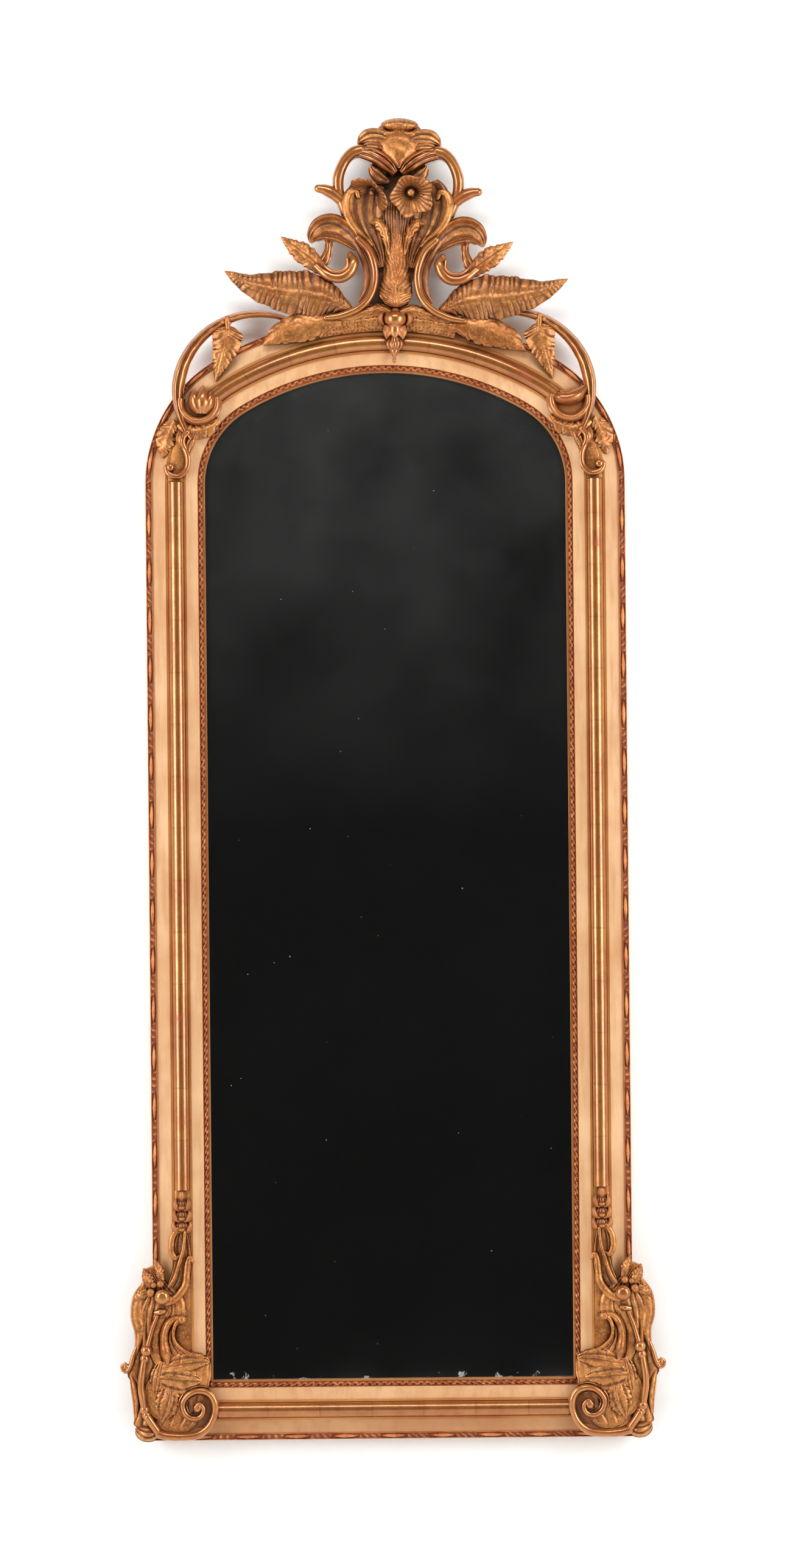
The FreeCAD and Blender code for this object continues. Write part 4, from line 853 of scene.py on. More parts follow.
# Arms: two round stems that rise from the fan and bend in under the hood, each with a finger
# bud at its side. Burnished on bole, so they read brighter than the leaves.
arms = paired(on_crest, lambda spot: [
    stem(spot, [
        (86, 214, 50, 8), (92, 232, 50, 9), (98, 252, 50, 9), (98, 274, 52, 9), (89, 297, 55, 9),
        (76, 311, 58, 9.5), (62, 316, 60, 9)
    ], along=90),
    leaf(spot, [
        (84, 303, 4, 4, 52, 5), (67, 313, 10, 10, 58, 8), (47, 310, 13, 13, 64, 8), (31, 302, 13, 13, 66, 8),
        (16, 291, 12, 11, 66, 7), (5, 279, 6, 6, 64, 4)
    ], back=42, flutes=3, flute=3.0, along=90, across=41),
    stem(spot, [(88, 230, 50, 9), (104, 243, 52, 10), (119, 250, 54, 9), (131, 252, 55, 7)], along=36)])
made("crest_arm_stems", arms, burnished, "burnished_gilt", "crest_arms")

# Ears: the shell-like leaves outside the fan, hollow and fluted inside a thick rolled rim.
# Carved in wood, glued to the board and matte gilded.
ears = paired(on_crest, lambda spot: [
    leaf(spot, [
        (58, 150, 4, 4, 52, 2), (68, 162, 11, 11, 54, 0), (86, 178, 20, 17, 55, -5),
        (106, 187, 24, 20, 56, -8), (124, 185, 21, 18, 54, -6), (137, 174, 13, 11, 51, 0),
        (142, 164, 2, 2, 48, 0)
    ], back=39, flutes=3, flute=0.9, along=90, across=45, rim=(9, 3))])
made("crest_ear_shells", ears, matte, "matte_gilt", "crest_ears")

# Flowers: two open trumpets that lean out under the hood, with waved rims, fluted throats and
# a round stamen in each.


def blossom(middle, depth, aim, size):
    """A flaring trumpet with a waved rim about the middle of its mouth, aimed along a direction
    across, up and out from the wall."""
    around = np.linspace(0, 2 * np.pi, 81)[None, :]
    outline = flow([(4, -34), (7, -26), (12, -16), (20, -7), (29, -1), (34, 2), (34, 4), (30, 3), (21, -3),
                    (12, -12), (6, -20), (0.01, -23)], 60)
    spread = (outline[:, :1] / 34) ** 2
    radius = outline[:, :1] * size * (1 + 0.08 * np.cos(5 * around + 0.6) * spread)
    flutes = (0.5 + 0.5 * np.cos(26 * around)) ** 3 * np.clip(outline[:, :1] / 16, 0, 1)
    out = outline[:, 1:] * size + 3.5 * np.cos(5 * around) * spread - 1.1 * flutes
    aim = np.array(aim) / np.linalg.norm(aim)
    first = np.cross(aim, (0.0, 1.0, 0.0))
    first = first / np.linalg.norm(first)
    second = np.cross(first, aim)
    a, b, forward = (radius * np.cos(around) * first[axis] + radius * np.sin(around) * second[axis]
                     + out * aim[axis] for axis in range(3))
    # Painted shade: the throat, deep inside the trumpet, is marked hollow so that the finish paints it dark.
    throat = np.clip(1.3 - outline[:, :1] / 13, 0, 1) * (np.arange(60)[:, None] > 32)
    across, up = on_crest()(middle[0] + a, middle[1] + b)
    sunk = np.maximum(flutes, throat) + 0 * a
    return closed(laid("blossom", across, up, depth + forward, hollow=sunk), smooth=60)


def knob(spot, middle, outline, sides=32, **marks):
    """A boss turned on a line straight out from the wall: (radius, depth) rows from its foot."""
    around = np.linspace(0, 2 * np.pi, sides + 1)[None, :]
    rows = flow(outline, len(outline) * 4)
    radius = np.maximum(rows[:, :1], 0.001) + 0 * around
    across, up = spot(middle[0] + radius * np.cos(around), middle[1] + radius * np.sin(around))
    return closed(laid("knob", across, up, rows[:, 1:] + 0 * around, **marks), smooth=50)


BALL = [(5, 0), (6.4, 3), (5.4, 6.4), (3, 8.4), (0, 9)]


def berry(spot, middle, wide, high, foot, sides=20, **marks):
    """A small round ball of a given breadth and height, standing at a depth."""
    return knob(spot, middle, [(r * wide, d * high + foot) for r, d in BALL], sides, **marks)


right_flower = [blossom((23, 241), 75.2, (0.1, -0.42, 0.9), 1.0),
                berry(on_crest(), (21, 247), 1, 1, 66)]
made("crest_flower_right_trumpet", right_flower, matte, "matte_gilt", "crest_flower_right")
left_flower = [blossom((-48, 240), 63, (-0.46, -0.64, 0.62), 1.02),
               berry(on_crest(), (-43, 246), 0.7, 1, 56)]
made("crest_flower_left_trumpet", left_flower, matte, "matte_gilt", "crest_flower_left")

# Long leaves: a broad ribbed leaf lying out on each side of the crest, with a raised midrib,
# close cross ribs and splits in its edge. Thin, and free of the board at the tip.
LONG_LEAF = [
    (72, 54, 5, 5, 52, 2), (92, 64, 16, 16, 54, 4), (118, 73, 31, 30, 55, 5), (150, 78, 38, 34, 56, 5),
    (180, 80, 36, 33, 56, 5), (210, 85, 29, 27, 57, 5), (240, 92, 17, 18, 58, 4), (264, 103, 9, 9, 60, 2),
    (281, 112, 1, 1, 61, 0.5)
]
for side, name in ((-1, "left"), (1, "right")):
    blade = leaf(on_crest(side), LONG_LEAF, thick=5, rib=3.4, veins=25, slant=0.8, groove=2.0, lobes=0.05,
        along=210, across=31, ragged=0.03, pillow=3.5, shade_shift=0.2)
    made(f"crest_long_leaf_{name}_blade", [blade], matte, "matte_gilt", f"crest_long_leaf_{name}")

# Curls: small open scrolls between the long leaves and the ears, a thick band with a bright
# thin rod along its inner edge. Burnished.
curls = paired(on_crest, lambda spot: [
    stem(spot, [
        (76, 143, 57, 6), (71, 132, 59, 9), (76, 117, 60, 9.5), (89, 107, 60, 9.5), (105, 107, 60, 9),
        (119, 114, 59, 8), (131, 124, 57, 6)
    ], along=80),
    stem(spot, [
        (81, 136, 65, 2.6), (81, 124, 67, 2.8), (91, 115, 68, 3), (104, 115, 68, 2.8), (115, 122, 66, 2.4),
        (121, 130, 63, 1.8)
    ], along=60),
    leaf(spot, [
        (112, 168, 7, 7, 48, 3), (113, 152, 6, 7, 49, 4), (118, 136, 9, 9, 51, 4), (126, 122, 7, 7, 52, 2)
    ], back=39, flutes=2, flute=1.2, along=40)])
made("crest_curl_bands", curls, burnished, "burnished_gilt", "crest_curls")

# Small leaves: a pointed leaf springing out and up above each long leaf.
# Thin carved wood, matte gilded, free of the board at its tip.
small = paired(on_crest, lambda spot: [
    leaf(spot, [
        (118, 114, 7, 7, 52, 3), (136, 131, 15, 14, 53, 5), (156, 146, 18, 16, 54, 5),
        (174, 159, 10, 10, 55, 4), (190, 171, 1, 1, 57, 1)
    ], thick=6, rib=1.8, veins=6, slant=1.6, groove=0.8, lobes=0.1, along=90, across=21, ragged=0.04)])
made("crest_small_leaf_pair", small, matte, "matte_gilt", "crest_small_leaves")

# Arch leaves: two broad leaves that lie along the arch from under the mound, lightly veined
# and with a waved edge. Matte gilded.
arch_leaves = paired(on_crest, lambda spot: [
    leaf(spot, [
        (88, 33, 5, 5, 51, 3), (106, 33, 14, 14, 51, 5), (130, 30, 21, 24, 51, 6), (158, 24, 23, 25, 50, 6),
        (190, 11, 19, 16, 48, 5), (216, -5, 1, 1, 44, 1)
    ], back=34, veins=4, slant=2.0, groove=0.7, lobes=0.16, along=100, across=25)])
made("crest_arch_leaf_pair", arch_leaves, matte, "matte_gilt", "crest_arch_leaves")

# Boss: a burnished ball held in a ring of short leaves at the foot of the tongue.
# Turned and carved, glued to the mound; the leaves are left dull.
boss = [
    stem(on_crest(), [
        (0, 53, 56, 7), (0, 49, 56, 15), (0, 42, 56, 18.5), (0, 34, 56, 17), (0, 28, 55, 11), (0, 20, 53, 10)
    ], along=40, sides=40)]
boss += paired(on_crest, lambda spot: [
    leaf(spot, [
        (18, 52, 2, 2, 54, 2), (22, 46, 6, 4, 56, 5), (22, 38, 6, 4, 55, 5), (18, 31, 2, 2, 53, 2)
    ], back=44, along=30, dull=1.0)])
made("crest_boss_ball", boss, burnished, "burnished_gilt", "crest_boss")

# Drop: the pendant under the boss, a bell with a zigzag leaf cap and a bead at its tip.
# It hangs in front of the moulding from the foot of the boss. Burnished, its cap left dull.
drop = [
    leaf(on_crest(), [
        (0, 20, 7, 7, 54, 2), (0, 10, 11, 11, 53, 5), (0, 1, 15, 15, 52, 8), (0, -6, 13, 13, 51, 7),
        (0, -11, 6, 6, 49, 4)
    ], back=40, flutes=5, flute=1.2, along=50, across=41),
    stem(on_crest(), [
        (0, -8, 46, 8), (0, -13, 46, 7), (0, -19, 45, 3.5), (0, -22, 44, 2.2), (0, -25, 44, 3.4),
        (0, -27, 44, 3)
    ], along=40, sides=20)]
for off in (-13, 0, 13):
    drop.append(leaf(on_crest(), [
        (off * 0.7, 28, 8, 8, 58, 2), (off * 0.9, 19, 8, 8, 60, 3), (off, 12, 4, 4, 60, 2),
        (off, 7, 0.5, 0.5, 57, 1)
    ], thick=5, along=30, across=9, dull=1.0))
made("crest_drop_pendant", drop, burnished, "burnished_gilt", "crest_drop")

# Shoulder stems: a burnished band on each shoulder that springs from under the long leaf and
# bends round outside the arch, parted by a groove, with a short round stalk at its end.


def by_shoulder(side):
    """Places from the centre of a shoulder bend, outward and up."""
    return lambda a, b: (side * (SHOULDER_OUT + a), SPRING + b)


def by_arc(centre, radius, start, end, count, *rest):
    """Rows on an arc with further columns that run evenly from a first to a last value."""
    rows = []
    for step in np.linspace(0, 1, count):
        turn = math.radians(start + (end - start) * step)
        row = [centre[0] + radius * math.cos(turn), centre[1] + radius * math.sin(turn)]
        rows.append((*row, *(first + (last - first) * step for first, last in rest)))
    return rows


STEM_CENTRE, STEM_RADIUS = (48, 146), 132
band = by_arc(STEM_CENTRE, STEM_RADIUS, 111, 20, 13, (4, 10), (4, 11), (42, 42), (7, 9))
band += by_arc(STEM_CENTRE, STEM_RADIUS, 10, -34, 6, (10, 5), (11, 5), (42, 44), (9, 6))
stems = paired(by_shoulder, lambda spot: [
    leaf(spot, band, back=34, flutes=2, flute=1.0, along=150, across=25),
    stem(spot, [(164, 84, 47, 5), (171, 76, 47, 5.5), (172, 66, 46, 5), (168, 56, 44, 4.5)], along=40)])
made("shoulder_stem_bands", stems, burnished, "burnished_gilt", "shoulder_stems")

# Shoulder scrolls: a deep round bowl that cradles the large bud on each shoulder.
# A carved ring of gilded wood round a dull floor, glued over the head of the frame.
bowl = by_arc((146, 133), 30, 165, 372, 14, (8, 8), (9, 9), (41, 41), (10, 10))
scrolls = paired(by_shoulder, lambda spot: [
    leaf(spot, bowl, back=36, along=90, across=25, dull=0.35),
    knob(spot, (146, 122), [(22, 36), (22, 40), (16, 41), (0.1, 41)], sides=32, dull=1.0)])
made("shoulder_scroll_bowls", scrolls, burnished, "burnished_gilt", "shoulder_scrolls")

# Shoulder buds: a bright bud in each bowl, three-lobed on the left and kidney-shaped on the
# right, and a small one on each stem below. Burnished.
BUD_LOBES = [
    [(143, 116, 8, 8, 44, 8), (150, 130, 12, 12, 46, 11), (153, 146, 8, 8, 46, 9), (152, 156, 1, 1, 44, 1)],
    [(137, 116, 8, 8, 44, 8), (129, 130, 12, 12, 46, 11), (125, 143, 8, 8, 46, 9), (124, 152, 1, 1, 44, 1)],
    [
        (140, 114, 10, 10, 45, 8), (139, 132, 16, 16, 48, 13), (138, 150, 9, 9, 47, 9),
        (138, 161, 1, 1, 44, 1)
    ]]
KIDNEY = [
    (117, 142, 4, 4, 43, 5), (127, 136, 12, 10, 44, 14), (143, 134, 15, 12, 44, 17),
    (158, 139, 14, 12, 44, 15), (170, 149, 8, 7, 43, 8), (178, 160, 1, 1, 42, 1)
]
buds = []
for side, lobes in ((-1, BUD_LOBES), (1, [KIDNEY])):
    spot = by_shoulder(side)
    buds += [leaf(spot, lobe, back=38, along=60, across=27) for lobe in lobes]
    buds.append(leaf(spot, [
        (178, 86, 2, 2, 46, 2), (177, 78, 7, 6, 48, 6), (175, 68, 7, 6, 48, 7), (171, 58, 2, 2, 46, 2)
    ], back=38, along=40))
made("shoulder_bud_pair", buds, burnished, "burnished_gilt", "shoulder_buds")

# Shoulder leaves: a skirt leaf below each bowl, a vine leaf below the stem, and the plain gilded
# ground under them that carries the line of the half-round on to the stile.
ground_section = [
    (ROUND_START + 0.1, ROUND_BED, 0, 1), (ROUND_START + 0.1, 39.4, 0, 1), (ROUND_MIDDLE - 6, 41, 0, 1),
    (ROUND_MIDDLE + 6, 41, 0, 1), (ROUND_END - 0.1, 39.4, 0, 1), (ROUND_END - 0.1, ROUND_BED, 0, 1)]
leaves = []
for side in (-1, 1):
    spot = by_shoulder(side)
    bend = (1, ROUND_STOP) if side > 0 else (180 - ROUND_STOP, 179)
    bed_line = bend_line((side * SHOULDER_OUT, SPRING), OUTER_SHOULDER, *bend, 30)
    leaves.append(moulded("ground", bed_line, ground_section))
    leaves += [
        leaf(spot, [
            (112, 106, 3, 4, 42, 2), (126, 92, 9, 12, 43, 4), (146, 86, 10, 14, 43, 5),
            (166, 88, 9, 13, 43, 4), (180, 97, 2, 3, 42, 1)
        ], back=32, veins=4, slant=0.8, groove=1.2, lobes=0.24, along=70, across=21),
        leaf(spot, [
            (150, 84, 4, 4, 44, 3), (158, 70, 8, 7, 44, 4), (164, 56, 6, 6, 43, 3), (164, 40, 1, 1, 42, 1)
        ], back=34, flutes=2, flute=1.2, along=50),
        leaf(spot, [
            (188, 106, 3, 3, 42, 2), (193, 92, 13, 12, 42, 4), (199, 75, 17, 16, 42, 5),
            (203, 58, 12, 12, 41, 4), (206, 43, 2, 2, 38, 1)
        ], back=30, rib=1.2, veins=4, slant=1.1, groove=1.4, lobes=0.32, along=80, across=21)]
made("shoulder_leaf_set", leaves, matte, "matte_gilt", "shoulder_leaves")

# Hanging leaves: a serrated leaf tied to each stem and hanging across the moulding.
# Thin wood with a knot and two berries at its top, matte gilded.
hanging = paired(by_shoulder, lambda spot: [
    leaf(spot, [
        (92, 258, 8, 8, 43, 2), (94, 252, 20, 20, 43, 4), (96, 242, 26, 25, 44, 5),
        (100, 222, 23, 21, 44, 5), (106, 203, 17, 15, 44, 4), (112, 186, 10, 9, 43, 3),
        (118, 168, 1, 1, 41, 1)
    ], back=36, rib=1.8, veins=11, slant=1.6, groove=1.4, lobes=0.14, along=140, across=27, pillow=1.5),
    stem(spot, [(97, 271, 48, 4), (97, 264, 48, 4.5), (96, 254, 47, 4)], along=24),
    berry(spot, (104, 264), 0.6, 0.6, 46, sides=16),
    berry(spot, (94, 262), 0.6, 0.6, 46, sides=16)])
made("shoulder_hanging_leaf_pair", hanging, matte, "matte_gilt", "shoulder_hanging_leaves")

# Shoulder tails: a thin hook under each vine leaf that rolls up into a round eye.
# One round burnished stem, glued to the edge of the head.
tails = paired(by_shoulder, lambda spot: [
    stem(spot, [
        (172, 64, 44, 4.5), (164, 44, 44, 5), (166, 24, 44, 5), (180, 12, 44, 5), (195, 16, 44, 4.6),
        (200, 26, 44, 4), (194, 31, 45, 3.4)
    ], along=70),
    berry(spot, (193, 27), 1.1, 1, 41, sides=18)])
made("shoulder_tail_hooks", tails, burnished, "burnished_gilt", "shoulder_tails")

# Corner panels: the shaped ground of each lower corner, sawn to a waved outline, laid over the
# mitre and carved with long sweeping flutes.


def by_corner(side):
    """Places from the outer lower corner of the frame, outward and up."""
    return lambda a, b: (side * (HALF_WIDTH + a), b)


PANEL_SIDES = [
    (17, -60, -10), (26, -72, 29), (40, -81, 31), (66, -87, 27), (96, -92, 35), (112, -95, 42),
    (134, -91, 37), (149, -60, 32), (162, -41, 28), (186, -40, 30), (212, -57, 35), (236, -48, 22),
    (258, -28, 13), (280, -10, 16), (289, -4, 2)
]
panel_rows = []
for up, low, high in PANEL_SIDES:
    half = (high - low) / 2
    panel_rows.append(((low + high) / 2, up, half, half, 43, 4))
FOLDS = [
    [
        (-30, 224, 5, 4, 44, 2), (-14, 200, 12, 9, 45, 5), (-4, 174, 13, 9, 45, 5), (-6, 146, 11, 9, 45, 5),
        (-16, 116, 4, 3, 44, 2)
    ],
    [
        (12, 262, 4, 4, 44, 2), (22, 238, 10, 9, 44, 5), (25, 208, 11, 9, 44, 5), (20, 182, 10, 8, 44, 5),
        (24, 156, 6, 5, 44, 4), (33, 132, 3, 3, 44, 2)
    ],
    [
        (-20, 118, 4, 4, 44, 2), (-2, 98, 12, 11, 45, 5), (4, 74, 13, 11, 45, 5), (-6, 50, 11, 10, 45, 5),
        (-26, 30, 3, 3, 44, 2)
    ],
    [(36, 112, 3, 3, 44, 2), (29, 90, 8, 6, 44, 5), (26, 66, 8, 6, 44, 5), (29, 40, 3, 3, 44, 2)],
    [(-84, 100, 3, 3, 43, 1), (-72, 118, 10, 9, 44, 4), (-58, 134, 10, 9, 44, 4), (-46, 152, 4, 4, 44, 2)],
    [(-30, 252, 3, 3, 44, 1), (-44, 232, 8, 8, 44, 4), (-46, 212, 8, 7, 44, 4), (-38, 192, 3, 3, 44, 2)]]
panels = paired(by_corner, lambda spot: [
    leaf(spot, panel_rows, back=34, along=120, across=65, dome=6, flutes=7, flute=2.2, shade_shift=-0.3,
        upright=True),
    *[leaf(spot, fold, back=40, along=60, across=21, rim=(2.2, 0)) for fold in FOLDS]])
made("corner_panel_grounds", panels, matte, "matte_gilt", "corner_panels")

# Corner volutes: a bright rolled band that runs along the foot of the corner and winds up into
# a volute round a domed eye, with a dished ground behind.
VOLUTE = [
    (-8, 15), (-23, 11), (-48, 9.5), (-73, 13), (-91, 26), (-101, 47), (-101, 67), (-91, 81), (-75, 85),
    (-59, 79), (-49, 65), (-53, 48), (-66, 40), (-79, 44), (-83, 56), (-76, 64), (-70, 58)
]
rod = [(a, b, 50 + place * 0.3, 7 - place * 0.22) for place, (a, b) in enumerate(VOLUTE)]
coil = [(a, b, 9 - place * 0.6, 9 - place * 0.6, 49, -2.5) for place, (a, b) in enumerate(VOLUTE[7:15])]
volutes = paired(by_corner, lambda spot: [
    stem(spot, rod, along=170, sides=20),
    leaf(spot, coil, back=38, along=110, across=25, rim=(2, 2), dull=0.5),
    knob(spot, (-73, 57), [(6, 46), (6.5, 54), (4.5, 57), (0, 58)], sides=24),
    knob(spot, (-75, 57), [(33, 38), (34, 43), (28, 43), (14, 45), (0.1, 46)], sides=40, dull=1.0)])
made("corner_volute_bands", volutes, burnished, "burnished_gilt", "corner_volutes")

# Corner reeds: a jointed reed that climbs the outer side of each corner from the foot.
# Round burnished stems with a ball at each joint, glued along the panel.
JOINTS = [(14, 55, 1.2), (11, 46, 1.1), (10, 152, 1.45), (13, 139, 1.15)]
reeds = paired(by_corner, lambda spot: [
    stem(spot, [(-6, 20, 52, 6.5), (2, 32, 53, 6.5), (9, 43, 54, 6)], along=30),
    stem(spot, [(14, 54, 54, 4.6), (17, 74, 54, 5.4), (19, 98, 54, 5.6), (13, 144, 53, 4.6)], along=60),
    stem(spot, [(11, 148, 53, 4.2), (1, 184, 52, 3.6), (-8, 208, 51, 3)], along=50),
    stem(spot, [(-19, 216, 50, 4), (-13, 215, 51, 5), (-6, 214, 50, 4)], along=20),
    *[berry(spot, (a, b), size, size, 49) for a, b, size in JOINTS]])
made("corner_reed_stems", reeds, burnished, "burnished_gilt", "corner_reeds")

# Corner feet: a plump folded nut at the very foot of each corner.
# Carved in wood, glued at the end of the volute and matte gilded.
feet = paired(by_corner, lambda spot: [
    leaf(spot, [
        (-8, 22, 2, 2, 44, 2), (0, 16, 11, 12, 46, 10), (11, 15, 14, 14, 46, 13), (22, 19, 11, 11, 45, 8),
        (29, 24, 2, 2, 42, 2)
    ], back=36, flutes=3, flute=2, along=50, across=31)])
made("corner_foot_nuts", feet, matte, "matte_gilt", "corner_feet")

# Corner leaves: acanthus above each volute with a curled, ball-ended tip, and a hollow sheath
# above it with a rolled rim, over the plain gilded ground that carries on the half-round.
SHELLS = [
    [
        (-14, 122, 8, 8, 46, 3), (-38, 126, 20, 20, 47, 5), (-62, 130, 24, 20, 47, 5),
        (-84, 132, 14, 12, 46, 3), (-92, 130, 4, 4, 45, 1)
    ],
    [
        (-4, 104, 8, 8, 47, 3), (-26, 104, 22, 22, 49, 5), (-50, 101, 26, 22, 49, 5),
        (-70, 100, 16, 16, 47, 3), (-80, 100, 4, 4, 45, 1)
    ],
    [(-14, 134, 5, 5, 47, 2), (-8, 114, 12, 11, 48, 4), (-4, 92, 13, 12, 48, 4), (-2, 70, 3, 3, 46, 1)],
    [(-26, 100, 8, 8, 47, 2), (-26, 78, 20, 20, 48, 5), (-20, 54, 22, 20, 48, 5), (-12, 30, 3, 3, 46, 1)]]
corner_leaves = []
for side in (-1, 1):
    spot = by_corner(side)
    stretch = straight_line((side * HALF_WIDTH, 140), (side * HALF_WIDTH, round_low), (-side, 0))
    corner_leaves.append(moulded("ground", stretch, ground_section))
    corner_leaves += [
        leaf(spot, shell, back=40, flutes=4, flute=1.3, lobes=0.2, veins=4, slant=0.9, groove=1.0, along=90,
             across=41, ragged=0.03, shade_shift=-0.35) for shell in SHELLS]
    corner_leaves += [
        leaf(spot, [
            (-40, 199, 3, 3, 45, 2), (-30, 182, 9, 8, 46, 3), (-29, 164, 10, 9, 46, 3),
            (-36, 147, 14, 12, 46, 3), (-48, 134, 5, 5, 45, 1)
        ], back=40, along=60, across=33, flutes=3, flute=2),
        stem(spot, [
            (-46, 203, 50, 3.5), (-38, 195, 50, 3.2), (-34, 180, 49, 3), (-37, 165, 48, 3),
            (-48, 153, 47, 3), (-62, 145, 46, 2.8), (-80, 137, 46, 2)
        ], along=70),
        leaf(spot, [
            (-46, 205, 4, 4, 49, 3), (-34, 203, 5, 5, 51, 4), (-25, 194, 6, 6, 52, 5),
            (-20, 181, 6, 6, 52, 5), (-19, 165, 6.5, 6.5, 52, 5), (-22, 147, 8, 8, 52, 6),
            (-25, 128, 2, 2, 50, 1)
        ], back=40, along=90, across=21),
        berry(spot, (-48, 202), 1.15, 1.1, 46),
        leaf(spot, [
            (-51, 352, 6, 6, 43, 1), (-50, 326, 14, 13, 43, -1), (-49, 296, 13, 17, 43, -2),
            (-42, 266, 14, 18, 44, -2), (-24, 238, 9, 12, 45, 0)
        ], back=34, along=80, across=49, rim=(1.5, 1.5), flutes=4, flute=1.2),
        stem(spot, [
            (-55, 346, 49, 2.4), (-52, 318, 50, 2.8), (-44, 291, 51, 2.8), (-37, 271, 52, 2.8),
            (-28, 257, 53, 2.4)
        ], along=60),
        stem(spot, [
            (-67, 296, 43, 3), (-63, 303, 44, 4), (-59, 296, 45, 5), (-57, 278, 46, 5.5), (-55, 260, 47, 6),
            (-47, 246, 48, 6.5), (-36, 235, 49, 6.5), (-24, 230, 51, 5.5)
        ], along=80, flat=0.8),
        stem(spot, [
            (-43, 350, 45, 4), (-34, 336, 46, 5), (-32, 316, 46, 5), (-38, 303, 46, 4.5), (-46, 305, 45, 3)
        ], along=60, flat=0.8)]
    for tip in ([(0, 256, 6, 6, 48, 2), (8, 271, 9, 9, 49, 4), (14, 286, 1, 1, 48, 1)],
                [(-16, 266, 5, 5, 47, 2), (-11, 284, 8, 8, 48, 4), (-4, 301, 1, 1, 46, 1)],
                [(8, 248, 6, 6, 48, 2), (21, 241, 9, 9, 48, 4), (31, 228, 1, 1, 46, 1)]):
        corner_leaves.append(leaf(spot, tip, back=40, rib=1, veins=2, groove=1.2, lobes=0.2, along=40))
made("corner_leaf_set", corner_leaves, matte, "matte_gilt", "corner_leaves")

# Corner buds: a bright round bud with duller berries about it between sheath and panel, and at
# the outer side a short arm that curls round a button. Burnished and glued to the panel.
CLUSTER = [(-29, 236, 0.9), (-14, 261, 1.0), (2, 247, 1.1), (-3, 259, 0.8)]
corner_buds = paired(by_corner, lambda spot: [
    knob(spot, (-17, 240), [(11, 46), (13, 52), (12, 58), (7, 63), (0, 64)], sides=28),
    *[berry(spot, (a, b), size, size, 48, dull=1.0) for a, b, size in CLUSTER],
    stem(spot, [
        (26, 158, 45, 3), (32, 142, 46, 4), (36, 128, 46, 4.2), (42, 118, 46, 4), (48, 119, 46, 3.6),
        (50, 126, 46, 3.2), (45, 130, 47, 2.8)
    ], along=60),
    berry(spot, (44, 125), 0.9, 1, 42)])
made("corner_bud_set", corner_buds, burnished, "burnished_gilt", "corner_buds")

# Husks: a chain of small bell flowers that runs down from the half-round to the sheath.
# Each has a cup, two turned-out petals and a lip. Gilded, and left duller than the half-round.
husks = []
for side in (-1, 1):
    spot = by_corner(side)
    husks.append(leaf(spot, [
        (-50, 418, 1, 1, 42, 1), (-50, 410, 5, 5, 44, 5), (-50, 402, 6, 6, 44, 6), (-50, 396, 3, 3, 43, 3)
    ], back=37, along=30, dull=1.0))
    for up, wide in ((389, 11.5), (371, 13.5), (353, 15)):
        husks.append(leaf(spot, [
            (-50, up + 10, 4, 4, 41, 1), (-50, up + 3, wide * 0.8, wide * 0.8, 42, 3),
            (-50, up - 6, wide * 0.6, wide * 0.6, 42, 4), (-50, up - 10, 3, 3, 41, 1)
        ], back=37, along=30, across=33, flutes=4, flute=1.5, dull=1.0))
        for turn in (-1, 1):
            husks.append(leaf(spot, [
                (-50 + turn * 3, up - 9, 2, 2, 44, 2), (-50 + turn * wide * 0.7, up - 5, 4.5, 4.5, 45, 4),
                (-50 + turn * wide * 0.95, up + 3, 4, 4, 45, 4),
                (-50 + turn * wide * 0.8, up + 11, 1, 1, 43, 1)
            ], back=37, along=30, dull=1.0))
        husks.append(leaf(spot, [
            (-57, up - 2, 1, 1, 44, 1), (-54, up - 3, 4, 4, 45, 6), (-50, up - 4, 5, 5, 45, 8),
            (-46, up - 3, 4, 4, 45, 6), (-43, up - 2, 1, 1, 44, 1)
        ], back=38, along=30, dull=0.6))
made("corner_husk_chain", husks, burnished, "burnished_gilt", "corner_husks")

# Studio: a white wall right behind the mirror and a pale floor below it, two tall soft lights
# either side in front, and a dark screen out of sight that the glass and the gold reflect.
WALL_GAP = 0.003
FLOOR = -0.3
STAGE_HALF, STAGE_TOP, STAGE_FRONT, STAGE_BACK = 4, 4.5, -2.3, 3
SCREEN_HALF, SCREEN_FRONT, SCREEN_FOOT = 1.6, -6.3, -2.5
SOFT_LIGHTS = [
    ("left_soft_light", (-2.2, -1.7, 1.3), (0, 0, 1.0), 60, 1.2, 2.4),
    ("right_soft_light", (2.2, -1.7, 1.3), (0, 0, 1.0), 60, 1.2, 2.4),
    ("top_soft_light", (0, -2.2, 3.4), (0, 0, 1.5), 32, 1.8, 0.6),
    ("back_soft_light", (0, 2.6, 1.6), (0, 0, 1.0), 40, 1.6, 1.6)]


def card(name, corners):
    """A flat stage card through four corners."""
    bpy.ops.object.select_all(action="DESELECT")
    bpy.ops.mesh.primitive_grid_add(x_subdivisions=1, y_subdivisions=1, size=2)
    item = bpy.context.object
    item.name = name
    for point, place in zip(item.data.vertices, corners):
        point.co = place
    return item


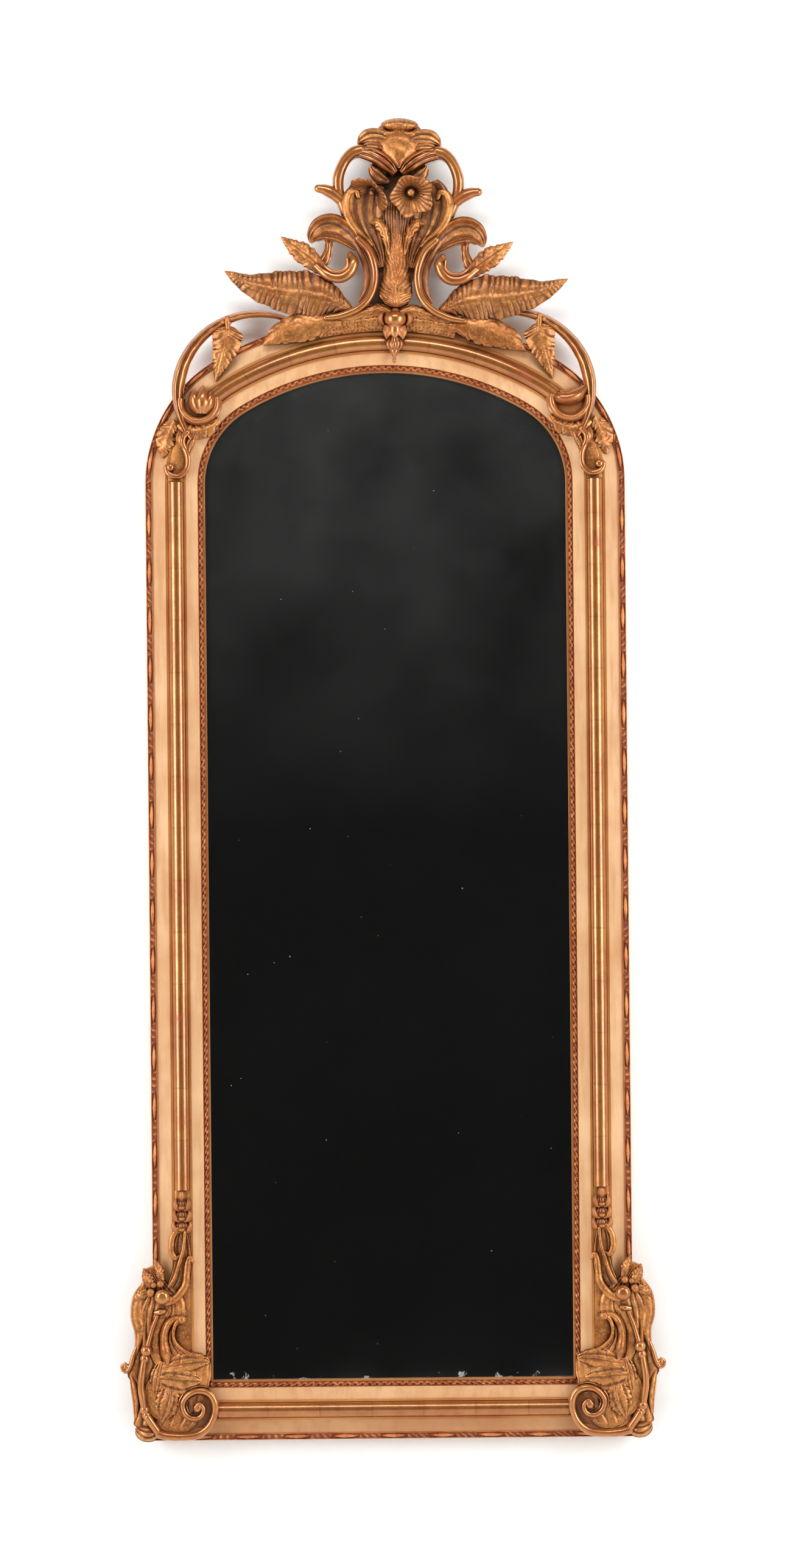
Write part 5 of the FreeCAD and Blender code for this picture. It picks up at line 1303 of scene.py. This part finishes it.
wall_paint = Finish("white_wall")
light_path = wall_paint.node("ShaderNodeLightPath", output="Is Shadow Ray")
behind = wall_paint.node("ShaderNodeNewGeometry", output="Backfacing")
through = wall_paint.node("ShaderNodeMath", {"operation": "MAXIMUM"}, {0: light_path, 1: behind})
plaster = wall_paint.noise(6, 3)
white = wall_paint.mixed(plaster * 0.2, (0.93, 0.93, 0.925, 1), (0.9, 0.9, 0.895, 1))
matt = wall_paint.node("ShaderNodeBsdfDiffuse", sockets={"Color": white})
clear = wall_paint.node("ShaderNodeBsdfTransparent")
wall_paint.node_output(wall_paint.node("ShaderNodeMixShader", sockets={0: through, 1: matt, 2: clear}))
wall = card("wall", [(x, WALL_GAP, z) for z in (FLOOR, STAGE_TOP) for x in (-STAGE_HALF, STAGE_HALF)])
wall.data.materials.append(wall_paint.material)

floor_paint = Finish("pale_floor")
floor_tone = floor_paint.noise(3, 3)
floor_paint.surface({
    "Base Color": floor_paint.mixed(floor_tone * 0.3, (0.7, 0.69, 0.67, 1), (0.64, 0.63, 0.61, 1)),
    "Roughness": 0.8,
})
floor = card("floor", [(x, y, FLOOR) for y in (STAGE_FRONT, STAGE_BACK) for x in (-STAGE_HALF, STAGE_HALF)])
floor.data.materials.append(floor_paint.material)

dark_cloth = Finish("dark_screen")
dark_cloth.surface({"Base Color": (0.008, 0.008, 0.008, 1), "Roughness": 0.9})
corners = [(x, SCREEN_FRONT, z) for z in (SCREEN_FOOT, STAGE_TOP) for x in (SCREEN_HALF, -SCREEN_HALF)]
screen = card("dark_screen", corners)
screen.data.materials.append(dark_cloth.material)
screen.visible_camera = False
screen.visible_diffuse = False
screen.visible_shadow = False

for name, place, aim, power, wide, high in SOFT_LIGHTS:
    lamp = bpy.data.lights.new(name, "AREA")
    lamp.shape = "RECTANGLE"
    lamp.size = wide
    lamp.size_y = high
    lamp.energy = power
    item = bpy.data.objects.new(name, lamp)
    bpy.context.scene.collection.objects.link(item)
    item.location = place
    toward = np.array(aim) - np.array(place)
    item.rotation_euler = (math.atan2(math.hypot(toward[0], toward[1]), -toward[2]), 0,
                           math.atan2(toward[0], -toward[1]) + math.pi)

world = bpy.data.worlds.new("pale_studio")
bpy.context.scene.world = world
world.use_nodes = True
sky = world.node_tree.nodes["Background"]
mirrored = world.node_tree.nodes.new("ShaderNodeLightPath")
share = world.node_tree.nodes.new("ShaderNodeMix")
share.data_type = "RGBA"
share.inputs[6].default_value = (1, 1, 1, 1)
share.inputs[7].default_value = (0.42, 0.38, 0.34, 1)
world.node_tree.links.new(mirrored.outputs["Is Glossy Ray"], share.inputs[0])
world.node_tree.links.new(share.outputs[2], sky.inputs["Color"])
sky.inputs["Strength"].default_value = 0.36

CAMERA_DISTANCE = 6.0
PHOTO_HEIGHT = 2.576
PHOTO_LEAN = 0.0095
PHOTO_MIDDLE = (0.020, 1.078)
CARVING_FACE = 0.045
camera = bpy.data.objects.new("camera", bpy.data.cameras.new("camera"))
bpy.context.scene.collection.objects.link(camera)
camera.location = (PHOTO_MIDDLE[0], -CAMERA_DISTANCE - CARVING_FACE, PHOTO_MIDDLE[1])
camera.rotation_euler = (math.pi / 2, PHOTO_LEAN, 0)
camera.data.lens = camera.data.sensor_width * CAMERA_DISTANCE / PHOTO_HEIGHT
camera.data.clip_end = 50
bpy.context.scene.camera = camera
bpy.context.scene.view_settings.view_transform = "Standard"
